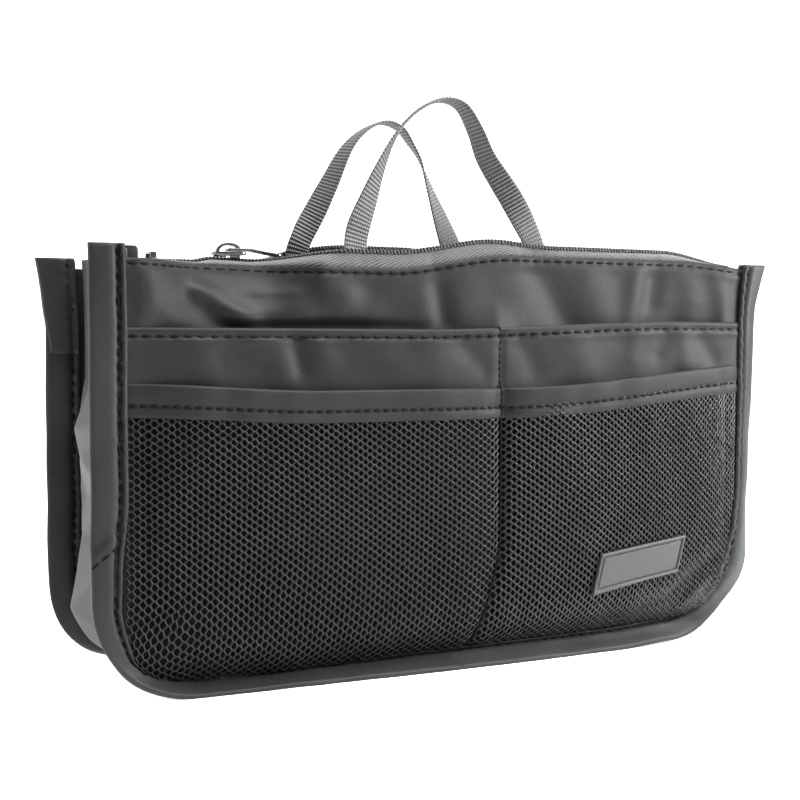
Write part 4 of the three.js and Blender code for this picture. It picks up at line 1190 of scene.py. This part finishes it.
def row_reach(x):
    return mix((ROW_SPLIT + ROW_SIZE) / 2, OPEN_REACH, opened(x))


ZIP_START, ZIP_END = -123.5, 139


def zip_line(side, x):
    """The toothed row's height over the floor. It dips at the closed end and at the far end."""
    dip = CLOSED_DIP * (1 - opened(x)) + 2.8 * smooth(x, 5, 48) + 3 * smooth(x, 100, 134)
    dip = dip + 1.4 * smooth(-x, 93, 101)
    return height_of(panel_top(side, x)) + TAPE_RISE - dip


def zip_tape(side, name):
    x = np.linspace(ZIP_START - 3, ZIP_END + 1, 170)[:, None]
    top = panel_top(side, x)
    dip = shell_dip(side, x, top)
    hem_reach = BAG_DEPTH / 2 + np.minimum(-dip, shell_face(side, x, top - 3)) - 1.7
    z_hem, z_row = height_of(top), zip_line(side, x) - 0.3
    reach = np.minimum(row_reach(x), hem_reach)
    v = np.linspace(0, 1, 16)[None]
    lower = smooth(v, 0, 0.3)
    rise = np.clip((v - 0.3) / 0.7, 0, 1)
    y = mix(hem_reach, reach, rise**2.2) + 0.3 * np.sin(v * 3)
    z = mix(z_hem - HEM_WIDTH, z_hem, lower) + (z_row - z_hem) * rise**0.75
    face = np.stack(np.broadcast_arrays(x, side * y, z), -1)
    back = np.stack(np.broadcast_arrays(x, side * (y - 0.4), z - 0.15), -1)
    uv = np.stack(np.broadcast_arrays(x, v * 14), -1)
    piece = cloth(f"{name}_zip_tape_cloth", face, back, uv, ZIP_TAPE)
    return ride_for(piece, "bag", "zip_tape", f"zip_tape_{name}")


def coil_tree(name, finish):
    """Turns a line into a coil round it, and gives it its wire."""
    sizes = {"Pitch": COIL_PITCH * MM, "Radius": COIL_RADIUS * MM, "Wire": COIL_WIRE * MM}
    tree, given, output = new_tree(name, sizes)
    line = add(tree, "GeometryNodeMeshToCurve", {0: given["Geometry"]})
    spline = add(tree, "GeometryNodeSplineParameter")
    tangent = add(tree, "GeometryNodeInputTangent")
    far = {0: spline.outputs["Length"], 1: given["Pitch"]}
    turns = add(tree, "ShaderNodeMath", far, operation="DIVIDE")
    angle = add(tree, "ShaderNodeMath", {0: turns.outputs[0], 1: 2 * math.pi}, operation="MULTIPLY")
    arm = add(tree, "ShaderNodeCombineXYZ", {"Y": given["Radius"]})
    swing = {"Vector": arm.outputs[0], "Axis": tangent.outputs[0], "Angle": angle.outputs[0]}
    swung = add(tree, "ShaderNodeVectorRotate", swing, rotation_type="AXIS_ANGLE")
    coiled = add(tree, "GeometryNodeSetPosition", {0: line.outputs[0], "Offset": swung.outputs[0]})
    return close_tree(tree, wired(tree, coiled, 5, given["Wire"]), finish, output)


COILS = coil_tree("coils", COIL)


def zip_coil(side, name):
    x = np.arange(ZIP_START, ZIP_END, COIL_PITCH / 10)
    y = np.minimum(row_reach(x), BAG_DEPTH / 2 - shell_dip(side, x, panel_top(side, x)) - 1.1)
    line = np.stack([x, side * y, zip_line(side, x)], -1)
    sizes = {"Pitch": COIL_PITCH, "Radius": COIL_RADIUS, "Wire": COIL_WIRE}
    piece = grown(f"{name}_zip_coil", COILS, line, chain(len(line)), None, sizes)
    return ride_for(piece, "bag", "zip_teeth", f"zip_teeth_{name}")


def from_node(name, node, body, finish, bevel):
    """A packed metal piece with merged corners and a small bevel."""
    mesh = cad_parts[node].data.copy()
    mesh.materials.clear()
    mesh.materials.append(finish)
    work = bmesh.new()
    work.from_mesh(mesh)
    bmesh.ops.remove_doubles(work, verts=work.verts, dist=1e-6)
    bmesh.ops.dissolve_limit(work, angle_limit=0.02, verts=work.verts, edges=work.edges)
    work.to_mesh(mesh)
    work.free()
    piece = linked(name, mesh)
    rounded = piece.modifiers.new("edges", "BEVEL")
    rounded.width = bevel * MM
    rounded.segments = 2
    rounded.angle_limit = math.radians(35)
    mesh.shade_smooth()
    return ride_for(piece, body, "nickel", node)


# Handles


# The handles' middle lines as distances across and heights over the fold line, from left to right.
HANDLE_LINES = {
    FRONT: [
        *((-39, -27), (-42.5, -15), (-42.3, -8), (-39.8, 1), (-37, 8), (-29.5, 26), (-22.4, 38.7)),
        *((-13.4, 47.5), (-3.3, 52), (5.5, 50), (12.1, 40.5), (17, 30), (24.4, 20), (29.3, 13.5)),
        *((36, 3), (39.5, -4), (40.5, -12), (39, -27)),
    ],
    BACK: [
        *((-39, -27), (-44.2, -14), (-44.7, -7), (-42, 0.5), (-36, 11.5), (-29.9, 23), (-21.4, 39)),
        *((-13, 47.3), (-3.6, 51.3), (4.3, 49.2), (9.3, 43.3), (14.4, 35.8), (18.4, 25.6), (23, 14.3)),
        *((29, 0), (33, -10), (37.5, -26)),
    ],
}


def handle_path(side):
    """The handle's middle line with the way across and through the webbing, from foot to foot."""
    knots = np.array([(x, 0, z) for x, z in HANDLE_LINES[side]], float)
    gaps = np.sqrt(np.linalg.norm(np.diff(knots, axis=0), axis=1))
    t = np.concatenate([[0], np.cumsum(gaps)])
    fine = []
    last = len(knots) - 1
    for i in range(last):
        before, after = max(i - 1, 0), min(i + 2, last)
        h = t[i + 1] - t[i]
        m1 = h * (knots[i + 1] - knots[before]) / (t[i + 1] - t[before])
        m2 = h * (knots[after] - knots[i]) / (t[after] - t[i])
        for q in np.linspace(0, 1, 40, endpoint=False):
            a = (2 * q**3 - 3 * q**2 + 1) * knots[i] + (q**3 - 2 * q**2 + q) * m1
            fine.append(a + (-2 * q**3 + 3 * q**2) * knots[i + 1] + (q**3 - q**2) * m2)
    fine = np.array(fine + [knots[-1]])
    length = np.concatenate([[0], np.cumsum(np.linalg.norm(np.diff(fine, axis=0), axis=1))])
    even = np.arange(0, length[-1], RIB_PITCH / 6)
    line = np.stack([np.interp(even, length, fine[:, k]) for k in range(3)], -1)
    along = unit(np.gradient(line, axis=0))
    foot = FOOT_LENGTH / length[-1]
    u = np.clip((even / length[-1] - foot) / (1 - 2 * foot), 0, 1)
    turn = math.pi / 2 * (1 - np.abs(2 * u - 1) ** 1.6)
    across = np.stack([along[:, 2], 0 * u, -along[:, 0]], -1) * np.cos(turn)[:, None]
    across[:, 1] = -side * np.sin(turn)
    return line, across, unit(np.cross(across, along)), even


def handle(side, name):
    """The ribbed webbing, which bends where it folds between its sewn feet and its loop."""
    line, across, through, u = handle_path(side)
    half, thick = WEBBING_WIDTH / 2, WEBBING_THICKNESS / 2
    profile = [(-1, 0.0), (-0.97, 0.6), (-0.85, 1), (-0.5, 1), (0, 1), (0.5, 1), (0.85, 1), (0.97, 0.6)]
    profile += [(-a, -b) for a, b in profile]
    ring = np.array(profile)
    rib = 1 + 0.3 * np.cos(2 * math.pi * u / RIB_PITCH)
    inward = np.clip(-line[:, 2], 0, None)
    base = line + np.array([0, side * HANDLE_REACH, HINGE_HEIGHT])
    base[:, 1] += side * 4.2 * smooth(inward, 2, 18)
    rings = (
        base[:, None]
        + across[:, None] * ring[None, :, 0, None] * half
        + through[:, None] * (ring[None, :, 1] * thick * rib[:, None])[..., None]
    )
    uv = np.stack(np.broadcast_arrays(ring[None, :, 0] * half, u[:, None]), -1)
    piece = loft(f"{name}_handle_webbing", rings, uv, WEBBING)
    feet = [f"handle_foot_{name}_{end}" for end in ("left", "right")]
    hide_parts(f"handle_{name}", *feet)
    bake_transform(piece)


# Small trim


def badge():
    """The bare rubber badge: a leaning plate with a raised rim and a groove inside it."""
    u = np.linspace(-1, 1, 121)[None]
    v = np.linspace(-1, 1, 61)[:, None]
    x = BADGE_X + u * BADGE_WIDTH / 2 + v * BADGE_SLANT / 2
    s = cloth_at(BADGE_Z) + v * BADGE_HEIGHT / 2 + u * BADGE_RISE / 2
    edge = np.minimum((1 - np.abs(u)) * BADGE_WIDTH / 2, (1 - np.abs(v)) * BADGE_HEIGHT / 2)
    rounded = BADGE_THICKNESS - 0.5 * (1 - np.clip(edge / 0.6, 0, 1)) ** 2
    groove = -1.1 * bump_at(edge, 1.7, 0.36)
    field = -0.15 * smooth(edge, 2.1, 2.6)
    base = filled_face(BADGE_X + 0 * x, cloth_at(BADGE_Z) + 0 * s) + 0.45
    piece = layer("rubber_badge", FRONT, x, s, base + rounded + groove + field, base, RUBBER)
    return ride_for(piece, "bag", "rubber", "badge_plate")


END_SHIFT = 3.2


def end_tab():
    """The upright tape end behind the front panel's left corner."""
    low, high = size_of("zip_end_tab")
    width = high[0] - low[0]
    u = np.linspace(0, 1, 17)[None]
    v = np.linspace(0, 1, 31)[:, None]
    height = high[2] - low[2] + 0.4
    z = low[2] + v * height
    over = np.clip((z - (high[2] - 1.5)) / 1.9, 0, 1)
    half = width / 2 * np.sqrt(np.maximum(1 - 0.55 * over**2, 0.05))
    x = (low[0] + high[0]) / 2 - END_SHIFT + (2 * u - 1) * half
    bulge = 0.35 * np.sqrt(np.clip(1 - (2 * u - 1) ** 2, 0, 1))
    y = np.broadcast_to(low[1] + 0 * x, x.shape)
    face = np.stack([x, y - bulge, z + 0 * x], -1)
    back = np.stack([x, y + (high[1] - low[1]), z + 0 * x], -1)
    piece = cloth("zip_tape_end", face, back, np.stack(np.broadcast_arrays(x, z), -1), TAPE_NYLON)
    return ride_for(piece, "bag", "binding_tape", "zip_end_tab")


# Assembly


def panel_stitches(side, name):
    """Topstitching of the hems and the band, and the seam between the pockets."""
    edge = half_width(cloth_at(150), FIN_WIDTH + 0.5)
    x = np.linspace(-edge, edge, 240)
    hem_s = panel_top(side, x) - 2.1
    flat_s = cloth_at(flat_top(x)) - 3.2
    band_s = cloth_at(mesh_top(x)) - 8
    band_face = mesh_face(x, cloth_at(mesh_top(x)) - 4) + 0.42 + 0.25 * ripple(x, band_s, 51 + side)
    lines = [
        panel_line(side, x, hem_s, shell_face(side, x, hem_s)),
        panel_line(side, x, flat_s, flat_face(side, x, flat_s)),
    ]
    stitch_row(f"{name}_hem_stitches", lines, HEM_STITCH, "nylon")
    lines = [panel_line(side, x, band_s, band_face)]
    stitch_row(f"{name}_band_stitches", lines, BAND_STITCH, "nylon")
    top = cloth_at(flat_top(SEAM_X))
    s = np.linspace(PANEL_INSET, top - 0.6, 120)
    seam = seam_x(s)
    over_net = s < cloth_at(mesh_top(SEAM_X))
    face = np.where(over_net, mesh_face(seam, s) + 0.5, flat_face(side, seam, s))
    band = (s > cloth_at(mesh_top(SEAM_X)) - BAND_WIDTH) & over_net
    face = np.where(band, face + 0.5, face)
    stitch_row(f"{name}_pocket_seam", [panel_line(side, seam, s, face)], SEAM_STITCH, "nylon", 0.94)


for side, name in ((FRONT, "front"), (BACK, "back")):
    shell(side, name)
    lining(side, name)
    flat_pocket(side, name)
    net(side, name)
    mesh_band(side, name)
    fin(side, name)
    fin_stitches(side, name)
    panel_stitches(side, name)
    zip_tape(side, name)
    zip_coil(side, name)
    handle(side, name)
gusset()
fin_end(BACK)
badge()
end_tab()
from_node("zip_slider_body", "zip_slider", "slider", NICKEL, 0.15)
from_node("zip_pull_leaf", "zip_pull", "pull", NICKEL, 0.15)
from_node("zip_end_stop", "zip_stop", "bag", NICKEL, 0.15)


# Studio


def studio():
    """A pale floor and backdrop, three soft lamps, and a white room that lights the bag only faintly."""
    made, tree, shader = new_finish("studio_paper")
    place = add(tree, "ShaderNodeTexCoord").outputs["Object"]
    tree.links.new(blotches(tree, place, 3, "#f6f6f6", "#fafafa"), shader.inputs["Base Color"])
    set_shader(shader, Roughness=0.9, Emission_Color=(1, 1, 1, 1), Emission_Strength=0.75)
    sheets = {
        "floor": [(-6, -6, 0), (6, -6, 0), (6, 6, 0), (-6, 6, 0)],
        "backdrop": [(-0.9, 2.2, 0), (3.3, 1.2, 0), (3.3, 1.2, 2), (-0.9, 2.2, 2)],
    }
    for label, corners in sheets.items():
        mesh = bpy.data.meshes.new(label)
        mesh.from_pydata(corners, [], [(0, 1, 2, 3)])
        mesh.materials.append(made)
        linked(label, mesh)
    world = bpy.data.worlds.new("studio")
    world.use_nodes = True
    tree = world.node_tree
    sky = tree.nodes["Background"].inputs
    sky["Color"].default_value = (1, 1, 1, 1)
    path = add(tree, "ShaderNodeLightPath")
    tones = {"Value": path.outputs["Is Camera Ray"], "To Min": 0.35, "To Max": 1.0}
    seen = add(tree, "ShaderNodeMapRange", tones)
    tree.links.new(seen.outputs["Result"], sky["Strength"])
    bpy.context.scene.world = world
    lights = [
        ("key", (0.38, -0.26, 0.23), 0.2, 4.7),
        ("left", (-1.3, 0.45, 0.5), 0.8, 14),
        ("top", (0.2, -0.22, 0.85), 0.5, 18),
    ]
    for label, place, size, power in lights:
        lamp = bpy.data.lights.new(label, "AREA")
        lamp.size = size
        lamp.energy = power
        holder = linked(label, lamp)
        holder.location = place
        holder.rotation_euler = (Vector((0, 0, 0.08)) - Vector(place)).to_track_quat("-Z", "Y").to_euler()
        holder.visible_camera = False


def camera():
    """The photograph's viewpoint: a 60 mm lens left of the bag, a little higher than its mesh pockets."""
    lens = bpy.data.cameras.new("camera")
    lens.lens = 36 * 1340 / 800
    lens.sensor_width = 36
    holder = linked("camera", lens)
    holder.location = (-0.255, -0.516, 0.129)
    holder.rotation_euler = (math.radians(90 - 2.14), 0, math.radians(-25.5))
    bpy.context.scene.camera = holder


studio()
camera()
bpy.context.scene.view_settings.view_transform = "Standard"
